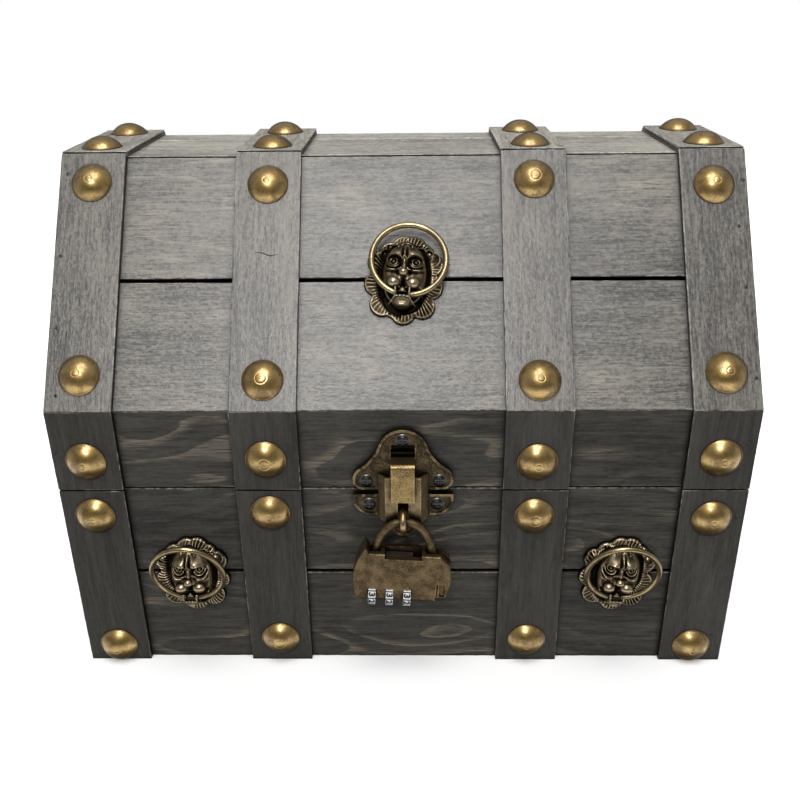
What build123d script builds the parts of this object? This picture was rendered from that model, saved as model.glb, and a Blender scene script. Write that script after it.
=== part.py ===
from build123d import *
import math
import os

# A wooden treasure chest with a six-sided section, straps, domed nails, lion ring pulls,
# a hasp and a three-dial padlock. Millimetres: X to the right, Y to the back, Z up.
# The origin is the middle of the underside.

os.makedirs("parts", exist_ok=True)

# Chest, measured over the straps
chest_width = 300.0
chest_depth = 201.0
chest_height = 227.5
seam_height = 94.0
rail_height = 38.0
top_depth = 66.0

# Boards
plank_thickness = 8.0
end_thickness = 9.0
floor_thickness = 6.0
base_joint_share = 0.521
slope_joint_share = 0.489
top_joint_share = 0.682
plank_gap = 1.7
seam_gap = 0.6
corner_gap = 0.7
edge_round = 0.6

# Straps
strap_thickness = 2.5
strap_width_share = 0.0953
inner_strap_share = 0.3873

# Domed nails: their places are shares of each strap piece's run, from the left strap to the right
dome_radius = 9.0
dome_height = 5.0
shank_radius = 1.1
shank_length = 8.5
shank_point = 1.5
shank_clearance = 0.05
base_low_nail_shares = (0.095, 0.137, 0.128, 0.095)
base_high_nail_shares = (0.862, 0.877, 0.860, 0.844)
rail_nail_shares = (0.379, 0.400, 0.363, 0.413)
slope_low_nail_shares = (0.135, 0.115, 0.111, 0.136)
slope_high_nail_shares = (0.874, 0.862, 0.876, 0.850)
top_nail_shares = (0.18, 0.82)

# Cross-head screws
screw_head_radius = 3.0
screw_head_height = 1.2
screw_shank_radius = 1.2
screw_shank_length = 7.0
recess_length = 3.6
recess_width = 0.8
recess_depth = 0.7

# Butt hinges on the back
hinge_width = 30.0
leaf_height = 19.0
leaf_thickness = 1.2
knuckle_radius = 2.8
knuckle_stand_off = 0.2
knuckle_gap = 0.2
knuckle_notch = 0.3
hinge_pin_radius = 1.25
hinge_pin_head_radius = 1.9
hinge_pin_head = 0.8
running_clearance = 0.05
hinge_screw_spread = 19.0
hinge_screw_drop = 11.5

# Lion masks: outline, relief and mouth
mask_width = 35.0
mask_height = 42.0
mane_thickness = 1.8
mane_dome_radius = 16.2
mane_dome_height = 4.2
lobe_radius = 5.8
lobe_count = 9
face_half_width = 9.6
face_half_height = 12.5
face_rise = 8.6
face_lift = 3.2
jaw_radius = 5.4
jaw_drop = 12.2
jaw_rise = 6.2
jowl_radius = 3.6
jowl_offset = 3.7
jowl_drop = 3.6
jowl_rise = 8.4
nose_radius = 2.2
nose_lift = 1.4
nose_rise = 9.6
bridge_radius = 1.7
bridge_top = 9.5
bridge_top_rise = 7.6
brow_radius = 1.5
brow_length = 5.6
brow_offset = 4.9
brow_lift = 9.6
brow_rise = 7.6
brow_turn = 14.0
socket_radius = 2.9
eye_radius = 1.9
eye_offset = 4.7
eye_lift = 6.4
eye_rise = 6.6
mouth_drop = 8.4
mouth_rise = 7.5
mouth_radius = 2.8
mouth_flare_radius = 6.7
mouth_width = 7.6
mouth_height = 3.6
fang_radius = 0.7
fang_offset = 2.9
fang_rise = 11.3
lid_mask_offset = 1.2
lid_mask_share = 0.492
lid_mask_turn = -4.0
left_mask_shift = 0.4
left_mask_turn = 0.0
right_mask_shift = 0.3
right_mask_turn = -6.0

# Pull rings
ring_radius = 15.2
ring_wire_radius = 1.3
lid_ring_turn = -6.4
lid_ring_lean_angle = -4.0
left_ring_turn = -3.4
left_ring_lean_angle = 7.5
right_ring_turn = -1.5
right_ring_lean_angle = 7.5

# Hasp: heights are counted from the seam, depths from the wood
hasp_offset = 0.6
hasp_plate_thickness = 2.2
hasp_rim_width = 0.9
hasp_rim_height = 0.5
lid_plate_half_width = 21.7
lid_plate_start = 0.7
lid_plate_height = 28.7
lid_plate_edge_shares = (
    (1.0, 0.16),
    (0.968, 0.265),
    (0.857, 0.355),
    (0.608, 0.54),
    (0.47, 0.742),
    (0.283, 0.932),
    (0.0, 1.0),
)
lid_ear_radius = 4.4
lid_screw_top = 24.2
lid_screw_side = 15.8
lid_screw_low = 4.7
keeper_plate_half_width = 21.8
keeper_plate_start = 2.0
keeper_ear_drop = 12.2
keeper_ear_inner = 12.0
keeper_ear_round = 8.0
keeper_lobe_radius = 5.6
keeper_lobe_drop = 23.2
keeper_screw_side = 14.9
keeper_screw_drop = 7.1
channel_half_width = 11.35
channel_face_half_width = 7.75
channel_depth = 6.7
channel_wall = 1.1
channel_top = 8.3
channel_drop = 13.8
channel_round = 0.5
channel_slot_width = 4.8
channel_slot_top = 4.0
channel_clearance = 0.35
eye_major_radius = 4.15
eye_wire_radius = 1.45
eye_reach = 9.3
eye_drop = 11.5
tongue_width = 10.0
tongue_sheet = 1.0
tongue_reach = 9.4
tongue_root = 16.9
tongue_shoulder = 15.2
tongue_tip_drop = 1.9
tongue_bend = 1.4
tongue_pivot_height = 17.6
tongue_pivot_depth = 1.3
tongue_knuckle_radius = 1.2
tongue_pin_radius = 0.6
tongue_pin_grip = 1.4
window_side_clearance = 0.3
window_low_clearance = 0.5
window_top = 20.2

# Padlock: drops are counted from the middle of the shackle's wire at its crown
padlock_offset = 1.5
padlock_tilt = 3.5
padlock_hang = 0.5
shackle_wire_radius = 1.9
shackle_crown_radius = 10.5
shackle_crown_angle = 53.13
shackle_span = 24.8
shackle_foot = 3.6
shackle_boss_radius = 2.6
shackle_boss_width = 3.4
pivot_pin_radius = 0.8
pivot_pin_grip = 2.2
case_drop = 14.2
case_width = 43.4
case_shoulder_width = 33.0
case_foot_width = 40.0
case_height = 23.6
case_thickness = 10.0
case_horn = 3.0
case_horn_run = 1.6
case_round = 0.9
case_corner = 2.4
case_slope_run = 4.6
case_slope_drop = 4.2
case_fit = 0.35
notch_width = 16.4
notch_depth = 2.1
slider_length = 12.0
slider_height = 1.6
slider_width = 3.4
slider_travel = 3.0
slider_clearance = 0.3
case_step = 1.8
groove_offset = 15.4
groove_width = 0.8
groove_depth = 0.6
groove_length = 7.6
pocket_offset = 18.0
pocket_width = 2.6
pocket_length = 6.6
pocket_lift = 1.0
dial_radius = 5.6
dial_width = 3.7
dial_lift = 1.0
dial_forward = 1.2
dial_first_offset = -12.9
dial_spacing = 7.8
dial_clearance = 0.3
axle_radius = 1.0
axle_grip = 2.5

# One overrun serves all cuts
overrun = 2.0
half_turn_angle = 180.0

half_width = chest_width / 2
half_depth = chest_depth / 2
half_top = top_depth / 2
kink_height = seam_height + rail_height
strap_width = strap_width_share * chest_width
inner_strap_offset = inner_strap_share * half_width
bay_middle = (inner_strap_offset + half_width - strap_width / 2) / 2
base_joint_height = base_joint_share * seam_height
slope_run = half_depth - half_top
slope_rise = chest_height - kink_height
slope_length = math.hypot(slope_run, slope_rise)
slope_cos = slope_run / slope_length
slope_sin = slope_rise / slope_length
board_face = strap_thickness
board_back = strap_thickness + plank_thickness
base_top = seam_height - seam_gap / 2
lid_bottom = seam_height + seam_gap / 2
wood_front = board_face - half_depth
wood_back = half_depth - board_face
strap_middles = (
    strap_width / 2 - half_width,
    -inner_strap_offset,
    inner_strap_offset,
    half_width - strap_width / 2,
)


# The section's outline at an inset from the straps' outer faces, as (y, z) points
def kink_point(inset):
    """The corner between the front wall and the front slope."""
    return (inset - half_depth, kink_height - inset * (1 - slope_sin) / slope_cos)


def top_point(inset):
    """The corner between the front slope and the flat top."""
    run = (inset + (slope_rise - inset) * slope_cos) / slope_sin
    return (run - half_depth, chest_height - inset)


def slope_point(along, inset):
    """A point on the front slope, counted up the slope from the kink."""
    return (
        along * slope_cos + inset * slope_sin - half_depth,
        kink_height + along * slope_sin - inset * slope_cos,
    )


def slope_end(inset):
    """How far up the slope the top corner lies, less the open joint under the top boards."""
    y, z = top_point(inset)
    return (y + half_depth) * slope_cos + (z - kink_height) * slope_sin - corner_gap


def behind(point):
    """The same point of the section on the back half."""
    return (-point[0], point[1])


# Planes that lie on the outside of the straps or of the boards, facing outwards
def wall_plane(x, z, inset):
    return Plane(origin=(x, inset - half_depth, z), x_dir=(1, 0, 0), z_dir=(0, -1, 0))


def slope_plane(x, along, inset, turn):
    y, z = slope_point(along, inset)
    x_dir = Vector(1, 0, 0).rotate(Axis((0, 0, 0), (0, -slope_sin, slope_cos)), turn)
    return Plane(origin=(x, y, z), x_dir=x_dir, z_dir=(0, -slope_sin, slope_cos))


def back_plane(x, z):
    return Plane(origin=(x, wood_back, z), x_dir=(-1, 0, 0), z_dir=(0, 1, 0))


def save(part, name):
    part.label = name
    export_step(part, f"parts/{name}.step")


# Where the nails go, as planes on the straps' outer faces
base_nail_planes = []
rail_nail_planes = []
slope_nail_planes = []
top_nail_planes = []
for index, middle in enumerate(strap_middles):
    for shares in (base_low_nail_shares, base_high_nail_shares):
        base_nail_planes.append(wall_plane(middle, shares[index] * seam_height, 0))
    rail_rise = rail_nail_shares[index] * (kink_height - seam_height)
    rail_nail_planes.append(wall_plane(middle, seam_height + rail_rise, 0))
    for shares in (slope_low_nail_shares, slope_high_nail_shares):
        slope_nail_planes.append(slope_plane(middle, shares[index] * slope_length, 0, 0))
    for share in top_nail_shares:
        top_nail_planes.append(Plane((middle, share * top_depth - half_top, chest_height)))

# Where the screws go, as planes on the plates that they hold
hasp_plane = wall_plane(hasp_offset, seam_height, board_face)
lid_screw_spots = ((0, lid_screw_top), (-lid_screw_side, lid_screw_low), (lid_screw_side, lid_screw_low))
keeper_screw_spots = ((-keeper_screw_side, -keeper_screw_drop), (keeper_screw_side, -keeper_screw_drop))


def screw_planes(spots):
    """Planes on the hasp plates' faces at (across, up) places counted from the hasp's middle."""
    face = hasp_plane.offset(hasp_plate_thickness)
    return [Plane(face.from_local_coords((x, y, 0)), face.x_dir, face.z_dir) for x, y in spots]


def hinge_screw_planes(height):
    """Planes on the leaves' faces of both hinges at one height above the seam."""
    places = []
    for middle in (-bay_middle, bay_middle):
        for side in (-hinge_screw_spread / 2, hinge_screw_spread / 2):
            places.append(back_plane(middle + side, seam_height + height).offset(leaf_thickness))
    return places


hasp_lid_screws = screw_planes(lid_screw_spots)
hasp_keeper_screws = screw_planes(keeper_screw_spots)
hinge_lid_screws = hinge_screw_planes(hinge_screw_drop)
hinge_base_screws = hinge_screw_planes(-hinge_screw_drop)
shank_hole = shank_radius + shank_clearance
screw_hole = screw_shank_radius + shank_clearance


def drill(planes, radius, depth):
    """Holes into the part being built, one square to each plane."""
    if planes:
        with Locations(*[plane.location for plane in planes]):
            Cylinder(radius, 2 * depth, mode=Mode.SUBTRACT)


# Planks: cross-sections in (y, z), then boards over the chest's full width
slope_gap_low = slope_joint_share * slope_length
slope_gap_high = slope_gap_low + plank_gap
top_gap_front = top_joint_share * top_depth - half_top
top_gap_back = top_gap_front + plank_gap
roof_face = chest_height - board_face
roof_back = chest_height - board_back
front_boards = {
    "base_front_lower_plank": (
        [
            (wood_front, 0),
            (board_back - half_depth, 0),
            (board_back - half_depth, base_joint_height),
            (wood_front, base_joint_height),
        ],
        base_nail_planes,
        [],
    ),
    "base_front_upper_plank": (
        [
            (wood_front, base_joint_height + plank_gap),
            (board_back - half_depth, base_joint_height + plank_gap),
            (board_back - half_depth, base_top),
            (wood_front, base_top),
        ],
        base_nail_planes,
        hasp_keeper_screws,
    ),
    "lid_front_rail": (
        [
            (wood_front, lid_bottom),
            (board_back - half_depth, lid_bottom),
            kink_point(board_back),
            kink_point(board_face),
        ],
        rail_nail_planes,
        hasp_lid_screws,
    ),
    "lid_front_slope_lower_plank": (
        [
            kink_point(board_face),
            kink_point(board_back),
            slope_point(slope_gap_low, board_back),
            slope_point(slope_gap_low, board_face),
        ],
        slope_nail_planes,
        [],
    ),
    "lid_front_slope_upper_plank": (
        [
            slope_point(slope_gap_high, board_face),
            slope_point(slope_gap_high, board_back),
            slope_point(slope_end(board_back), board_back),
            slope_point(slope_end(board_face), board_face),
        ],
        slope_nail_planes,
        [],
    ),
}
top_boards = {
    "lid_top_front_plank": [
        top_point(board_face),
        top_point(board_back),
        (top_gap_front, roof_back),
        (top_gap_front, roof_face),
    ],
    "lid_top_back_plank": [
        (top_gap_back, roof_face),
        (top_gap_back, roof_back),
        behind(top_point(board_back)),
        behind(top_point(board_face)),
    ],
}


def build_board(points):
    """A board over the full width with eased long edges."""
    with BuildPart() as board:
        with BuildSketch(Plane.YZ.offset(-half_width)) as section:
            with BuildLine():
                Polyline(*points, close=True)
            make_face()
            fillet(section.vertices(), radius=edge_round)
        extrude(amount=chest_width)
    return board.part


back_screws = {"base_front_upper_plank": hinge_base_screws, "lid_front_rail": hinge_lid_screws}
for name, (points, nail_planes, screws) in front_boards.items():
    blank = build_board(points)
    with BuildPart() as nailed_board:
        add(blank)
        drill(nail_planes, shank_hole, shank_length)
    with BuildPart() as front_board:
        add(nailed_board.part)
        drill(screws, screw_hole, screw_shank_length)
    save(front_board.part, name)
    with BuildPart() as back_board:
        mirror(nailed_board.part, about=Plane.XZ)
        drill(back_screws.get(name, []), screw_hole, screw_shank_length)
    save(back_board.part, name.replace("front", "back"))

for name, points in top_boards.items():
    blank = build_board(points)
    with BuildPart() as top_board:
        add(blank)
        drill(top_nail_planes, shank_hole, shank_length)
    save(top_board.part, name)

# End boards, one for the base and one for the lid at each side, inside the planks
for side, start in (("left", -half_width), ("right", half_width - end_thickness)):
    with BuildPart() as base_end:
        with BuildSketch(Plane.YZ.offset(start)):
            with BuildLine():
                Polyline(
                    (board_back - half_depth, 0),
                    (half_depth - board_back, 0),
                    (half_depth - board_back, base_top),
                    (board_back - half_depth, base_top),
                    close=True,
                )
            make_face()
        extrude(amount=end_thickness)
    save(base_end.part, f"base_{side}_end_board")

    with BuildPart() as lid_end:
        with BuildSketch(Plane.YZ.offset(start)):
            with BuildLine():
                Polyline(
                    (board_back - half_depth, lid_bottom),
                    (half_depth - board_back, lid_bottom),
                    behind(kink_point(board_back)),
                    behind(top_point(board_back)),
                    top_point(board_back),
                    kink_point(board_back),
                    close=True,
                )
            make_face()
        extrude(amount=end_thickness)
    save(lid_end.part, f"lid_{side}_end_board")

with BuildPart() as base_floor:
    with BuildSketch(Plane.XY):
        Rectangle(chest_width - 2 * end_thickness, chest_depth - 2 * board_back)
    extrude(amount=floor_thickness)
save(base_floor.part, "base_floor_board")

# Straps: one piece for each face of the chest, four times across it
strap_runs = {
    "base_front_straps": (
        [(-half_depth, 0), (wood_front, 0), (wood_front, base_top), (-half_depth, base_top)],
        base_nail_planes,
    ),
    "lid_front_rail_straps": (
        [(-half_depth, lid_bottom), (wood_front, lid_bottom), kink_point(board_face), kink_point(0)],
        rail_nail_planes,
    ),
    "lid_front_slope_straps": (
        [
            kink_point(0),
            kink_point(board_face),
            slope_point(slope_end(board_face), board_face),
            slope_point(slope_end(0), 0),
        ],
        slope_nail_planes,
    ),
    "lid_top_straps": (
        [top_point(0), top_point(board_face), behind(top_point(board_face)), behind(top_point(0))],
        top_nail_planes,
    ),
}
for name, (points, nail_planes) in strap_runs.items():
    with BuildPart() as straps:
        for middle in strap_middles:
            with BuildSketch(Plane.YZ.offset(middle - strap_width / 2)):
                with BuildLine():
                    Polyline(*points, close=True)
                make_face()
            extrude(amount=strap_width)
        drill(nail_planes, shank_hole, shank_length)
    save(straps.part, name)
    if "front" in name:
        with BuildPart() as back_straps:
            mirror(straps.part, about=Plane.XZ)
        save(back_straps.part, name.replace("front", "back"))

# Domed nails
sphere_radius = (dome_radius**2 + dome_height**2) / (2 * dome_height)
half_angle = math.asin(dome_radius / sphere_radius) / 2
with BuildPart() as dome_nail:
    with BuildSketch(Plane.XZ):
        with BuildLine():
            dome = ThreePointArc(
                (0, dome_height),
                (
                    sphere_radius * math.sin(half_angle),
                    dome_height - sphere_radius * (1 - math.cos(half_angle)),
                ),
                (dome_radius, 0),
            )
            Polyline(
                dome @ 1,
                (shank_radius, 0),
                (shank_radius, shank_point - shank_length),
                (0, -shank_length),
                dome @ 0,
            )
        make_face()
    revolve(axis=Axis.Z)

nail_groups = {
    "base_front_nails": base_nail_planes,
    "lid_front_rail_nails": rail_nail_planes,
    "lid_front_slope_nails": slope_nail_planes,
    "lid_top_nails": top_nail_planes,
}
for name, planes in nail_groups.items():
    with BuildPart() as nails:
        with Locations(*[plane.location for plane in planes]):
            add(dome_nail.part)
    save(nails.part, name)
    if "front" in name:
        with BuildPart() as back_nails:
            mirror(nails.part, about=Plane.XZ)
        save(back_nails.part, name.replace("front", "back"))

# Cross-head screws
with BuildPart() as cross_screw:
    with BuildSketch(Plane.XZ):
        with BuildLine():
            crown = RadiusArc((0, screw_head_height), (screw_head_radius, 0), 2 * screw_head_radius)
            Polyline(
                crown @ 1,
                (screw_shank_radius, 0),
                (screw_shank_radius, -screw_shank_length),
                (0, -screw_shank_length),
                crown @ 0,
            )
        make_face()
    revolve(axis=Axis.Z)
    with BuildSketch(Plane.XY.offset(screw_head_height)):
        Rectangle(recess_length, recess_width)
        Rectangle(recess_width, recess_length)
    extrude(amount=-recess_depth, mode=Mode.SUBTRACT)

screw_groups = {
    "hasp_plate_screws": hasp_lid_screws,
    "hasp_keeper_screws": hasp_keeper_screws,
    "hinge_lid_screws": hinge_lid_screws,
    "hinge_base_screws": hinge_base_screws,
}
for name, planes in screw_groups.items():
    with BuildPart() as screws:
        with Locations(*[plane.location for plane in planes]):
            add(cross_screw.part)
    save(screws.part, name)

# Butt hinges: the pin lies just behind the back's boards, level with the seam
hinge_axis_y = wood_back + knuckle_stand_off + knuckle_radius
knuckle_width = hinge_width / 3


def build_leaves(upward, screws):
    """Both hinges' leaves with their knuckles: the lid's have the middle one, the base's the outer two."""
    own = [0] if upward > 0 else [-1, 1]
    other = [-1, 1] if upward > 0 else [0]
    with BuildPart() as leaves:
        for middle in (-bay_middle, bay_middle):
            with BuildSketch(back_plane(middle, seam_height + upward * leaf_height / 2)):
                Rectangle(hinge_width, leaf_height)
            extrude(amount=leaf_thickness)
            for step in other:
                start = middle + (step - 0.5) * knuckle_width
                with BuildSketch(Plane.YZ.offset(start)):
                    with Locations((hinge_axis_y, seam_height)):
                        Circle(knuckle_radius + knuckle_notch)
                extrude(amount=knuckle_width, mode=Mode.SUBTRACT)
            for step in own:
                start = middle + (step - 0.5) * knuckle_width + knuckle_gap / 2
                with BuildSketch(Plane.YZ.offset(start)):
                    with Locations((hinge_axis_y, seam_height)):
                        Circle(knuckle_radius)
                extrude(amount=knuckle_width - knuckle_gap)
        with BuildSketch(Plane.YZ.offset(-half_width)):
            with Locations((hinge_axis_y, seam_height)):
                Circle(hinge_pin_radius + running_clearance)
        extrude(amount=chest_width, mode=Mode.SUBTRACT)
        drill(screws, screw_hole, screw_shank_length)
    return leaves.part


save(build_leaves(1, hinge_lid_screws), "hinge_lid_leaves")
save(build_leaves(-1, hinge_base_screws), "hinge_base_leaves")

with BuildPart() as hinge_pins:
    for middle in (-bay_middle, bay_middle):
        start = middle - hinge_width / 2
        with BuildSketch(Plane.YZ.offset(start)):
            with Locations((hinge_axis_y, seam_height)):
                Circle(hinge_pin_radius)
        extrude(amount=hinge_width)
        for end in (start - hinge_pin_head, start + hinge_width):
            with BuildSketch(Plane.YZ.offset(end)):
                with Locations((hinge_axis_y, seam_height)):
                    Circle(hinge_pin_head_radius)
            extrude(amount=hinge_pin_head)
save(hinge_pins.part, "hinge_pins")

# Lion mask: mane with lobes, domed face, brows, eyes, nose, jowls, jaw and an open mouth.
# It is built flat on its back, with its face to +Z and its crown to +Y.
mane_sphere = (mane_dome_radius**2 + mane_dome_height**2) / (2 * mane_dome_height)
with BuildPart() as lion_mask:
    with BuildSketch(Plane.XY):
        Ellipse(mask_width / 2 - lobe_radius / 2, mask_height / 2 - lobe_radius / 2)
        for index in range(lobe_count):
            angle = 2 * math.pi * index / lobe_count - math.pi / 2
            across = (mask_width / 2 - lobe_radius) * math.cos(angle)
            up = (mask_height / 2 - lobe_radius) * math.sin(angle)
            with Locations((across, up)):
                Circle(lobe_radius)
    extrude(amount=mane_thickness)
    with BuildSketch(Plane.XZ):
        with BuildLine():
            rise = RadiusArc(
                (0, mane_thickness + mane_dome_height), (mane_dome_radius, mane_thickness), mane_sphere
            )
            Polyline(rise @ 1, (mane_dome_radius, 0), (0, 0), rise @ 0)
        make_face()
    revolve(axis=Axis.Z)
    with BuildSketch(Plane.YZ):
        with BuildLine():
            brow_line = EllipticalCenterArc((face_lift, 0), face_half_height, face_rise, arc_size=half_turn_angle)
            Line(brow_line @ 1, brow_line @ 0)
        make_face()
    revolve(axis=Axis.Y)
    with Locations((0, -jaw_drop, jaw_rise)):
        Sphere(jaw_radius)
    with Locations((-jowl_offset, -jowl_drop, jowl_rise), (jowl_offset, -jowl_drop, jowl_rise)):
        Sphere(jowl_radius)
    for side in (-1, 1):
        with BuildSketch(Plane((side * brow_offset, brow_lift, 0))):
            SlotOverall(brow_length, 2 * brow_radius, rotation=side * brow_turn)
        extrude(amount=brow_rise + brow_radius / 2)
    with Locations((-eye_offset, eye_lift, eye_rise + eye_radius), (eye_offset, eye_lift, eye_rise + eye_radius)):
        Sphere(socket_radius, mode=Mode.SUBTRACT)
    with Locations((-eye_offset, eye_lift, eye_rise), (eye_offset, eye_lift, eye_rise)):
        Sphere(eye_radius)
    with BuildSketch(Plane((0, nose_lift, 0))):
        Circle(nose_radius)
    extrude(amount=nose_rise)
    with Locations((0, nose_lift, nose_rise)):
        Sphere(nose_radius)
    with BuildSketch(Plane.YZ.offset(-bridge_radius)):
        with BuildLine():
            Polyline(
                (nose_lift, 0),
                (bridge_top, 0),
                (bridge_top, bridge_top_rise),
                (nose_lift, nose_rise + nose_radius / 2),
                close=True,
            )
        make_face()
    extrude(amount=2 * bridge_radius)
    with Locations((0, -mouth_drop, mouth_rise)):
        for turn in (-90, 90):
            Cone(
                mouth_radius,
                mouth_flare_radius,
                mask_width / 2,
                rotation=(0, turn, 0),
                align=(Align.CENTER, Align.CENTER, Align.MIN),
                mode=Mode.SUBTRACT,
            )
    with BuildSketch(Plane((0, -mouth_drop, mouth_rise))):
        Rectangle(mouth_width, mouth_height)
    extrude(amount=mouth_rise, mode=Mode.SUBTRACT)
    for side in (-1, 1):
        with BuildSketch(Plane.XZ.offset(jowl_drop)):
            with Locations((side * fang_offset, fang_rise)):
                Circle(fang_radius)
        extrude(amount=jaw_drop - jowl_drop - jaw_radius / 2)
    with BuildSketch(Plane.XY):
        Rectangle(2 * mask_width, 2 * mask_height)
    extrude(amount=-mask_height, mode=Mode.SUBTRACT)

lid_mask_plane = slope_plane(lid_mask_offset, lid_mask_share * slope_length, board_face, lid_mask_turn)


def wall_mask_plane(x, turn):
    flat = wall_plane(x, base_joint_height, board_face)
    return Plane(flat.origin, flat.x_dir.rotate(Axis((0, 0, 0), (0, -1, 0)), turn), flat.z_dir)


left_mask_plane = wall_mask_plane(left_mask_shift - bay_middle, left_mask_turn)
right_mask_plane = wall_mask_plane(bay_middle + right_mask_shift, right_mask_turn)

with BuildPart() as pull_ring:
    with Locations((0, ring_radius, 0)):
        Torus(ring_radius, ring_wire_radius)

mouth = Location((0, -mouth_drop, mouth_rise))
lions = {
    "lid": (lid_mask_plane, lid_ring_turn, lid_ring_lean_angle),
    "left": (left_mask_plane, left_ring_turn, left_ring_lean_angle),
    "right": (right_mask_plane, right_ring_turn, right_ring_lean_angle),
}
joint_places = {}
for name, (plane, turn, lean) in lions.items():
    with BuildPart() as mask:
        with Locations(plane.location):
            add(lion_mask.part)
    save(mask.part, f"lion_mask_{name}")
    seat = plane.location * mouth * Location((0, 0, 0), (0, 0, turn)) * Location((0, 0, 0), (lean, 0, 0))
    with BuildPart() as ring:
        with Locations(seat):
            add(pull_ring.part)
    save(ring.part, f"lion_ring_{name}")
    joint_places[f"lion_ring_{name}"] = (seat.position, Plane(seat).x_dir)

# Hasp: bell-shaped plate on the lid
lid_plate_top = lid_plate_start + lid_plate_height
tongue_leg_drop = (tongue_root - tongue_shoulder) / (tongue_reach - tongue_pivot_depth)
window_low = (
    tongue_root
    - (hasp_plate_thickness - tongue_pivot_depth) * tongue_leg_drop
    - tongue_sheet / 2
    - window_low_clearance
)
window_half_width = tongue_width / 2 + window_side_clearance
with BuildPart() as hasp_plate:
    with BuildSketch(hasp_plane) as plate_outline:
        with BuildLine():
            edge_points = [
                (across * lid_plate_half_width, lid_plate_start + up * lid_plate_height)
                for across, up in lid_plate_edge_shares
            ]
            Line((0, lid_plate_start), (lid_plate_half_width - lid_ear_radius, lid_plate_start))
            TangentArc(
                (lid_plate_half_width - lid_ear_radius, lid_plate_start),
                edge_points[0],
                tangent=(1, 0),
            )
            for arc_points in zip(edge_points[0::2], edge_points[1::2], edge_points[2::2]):
                ThreePointArc(*arc_points)
            mirror(about=Plane.YZ)
        make_face()
    extrude(amount=hasp_plate_thickness)
    with BuildSketch(hasp_plane.offset(hasp_plate_thickness)):
        add(plate_outline.sketch_local)
        offset(amount=-hasp_rim_width, mode=Mode.SUBTRACT)
        with Locations((0, lid_plate_start)):
            Rectangle(2 * channel_half_width + 2 * channel_clearance, 2 * channel_top, mode=Mode.SUBTRACT)
    extrude(amount=hasp_rim_height)
    with BuildSketch(hasp_plane):
        with Locations((0, (window_low + window_top) / 2)):
            Rectangle(2 * window_half_width, window_top - window_low)
    extrude(amount=hasp_plate_thickness + overrun, mode=Mode.SUBTRACT)
    with BuildSketch(Plane.YZ.offset(hasp_offset - window_half_width - tongue_pin_grip)):
        with Locations((wood_front - tongue_pivot_depth, seam_height + tongue_pivot_height)):
            Circle(tongue_pin_radius)
    extrude(amount=2 * window_half_width + 2 * tongue_pin_grip, mode=Mode.SUBTRACT)
    drill(hasp_lid_screws, screw_hole, screw_shank_length)
save(hasp_plate.part, "hasp_lid_plate")

with BuildPart() as tongue_pin:
    with BuildSketch(Plane.YZ.offset(hasp_offset - window_half_width - tongue_pin_grip)):
        with Locations((wood_front - tongue_pivot_depth, seam_height + tongue_pivot_height)):
            Circle(tongue_pin_radius)
    extrude(amount=2 * window_half_width + 2 * tongue_pin_grip)
save(tongue_pin.part, "hasp_tongue_pin")


def hasp_section(depth, height):
    """A point of the hasp's upright section: depth out of the wood, height over the seam."""
    return (wood_front - depth, seam_height + height)


with BuildPart() as tongue:
    with BuildSketch(Plane.YZ.offset(hasp_offset - tongue_width / 2)):
        with BuildLine():
            FilletPolyline(
                hasp_section(tongue_pivot_depth, tongue_root),
                hasp_section(tongue_reach, tongue_shoulder),
                hasp_section(tongue_reach, -tongue_tip_drop),
                radius=tongue_bend,
            )
        trace(line_width=tongue_sheet)
        with Locations(hasp_section(tongue_pivot_depth, tongue_pivot_height)):
            Circle(tongue_knuckle_radius)
            Circle(tongue_pin_radius + running_clearance, mode=Mode.SUBTRACT)
    extrude(amount=tongue_width)
save(tongue.part, "hasp_tongue")

# Hasp: keeper plate with two ears and a lobe, hat-section channel and padlock eye
keeper_points = (
    (0, -keeper_plate_start),
    (keeper_plate_half_width, -keeper_plate_start),
    (keeper_plate_half_width, keeper_ear_round - keeper_ear_drop),
)
with BuildPart() as keeper_plate:
    with BuildSketch(hasp_plane) as keeper_outline:
        with BuildLine():
            Polyline(*keeper_points)
            ear = TangentArc(
                keeper_points[-1], (keeper_ear_inner, -keeper_ear_drop), tangent=(0, -1)
            )
            lobe_centre = keeper_lobe_radius - keeper_lobe_drop
            Line(ear @ 1, (keeper_lobe_radius, lobe_centre))
            TangentArc(
                (keeper_lobe_radius, lobe_centre), (0, -keeper_lobe_drop), tangent=(0, -1)
            )
            mirror(about=Plane.YZ)
        make_face()
    extrude(amount=hasp_plate_thickness)
    with BuildSketch(hasp_plane.offset(hasp_plate_thickness)):
        add(keeper_outline.sketch_local)
        offset(amount=-hasp_rim_width, mode=Mode.SUBTRACT)
        with Locations((0, -keeper_plate_start)):
            Rectangle(2 * channel_half_width + 2 * channel_clearance, 2 * channel_drop, mode=Mode.SUBTRACT)
    extrude(amount=hasp_rim_height)
    drill(hasp_keeper_screws, screw_hole, screw_shank_length)
save(keeper_plate.part, "hasp_keeper_plate")

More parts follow.
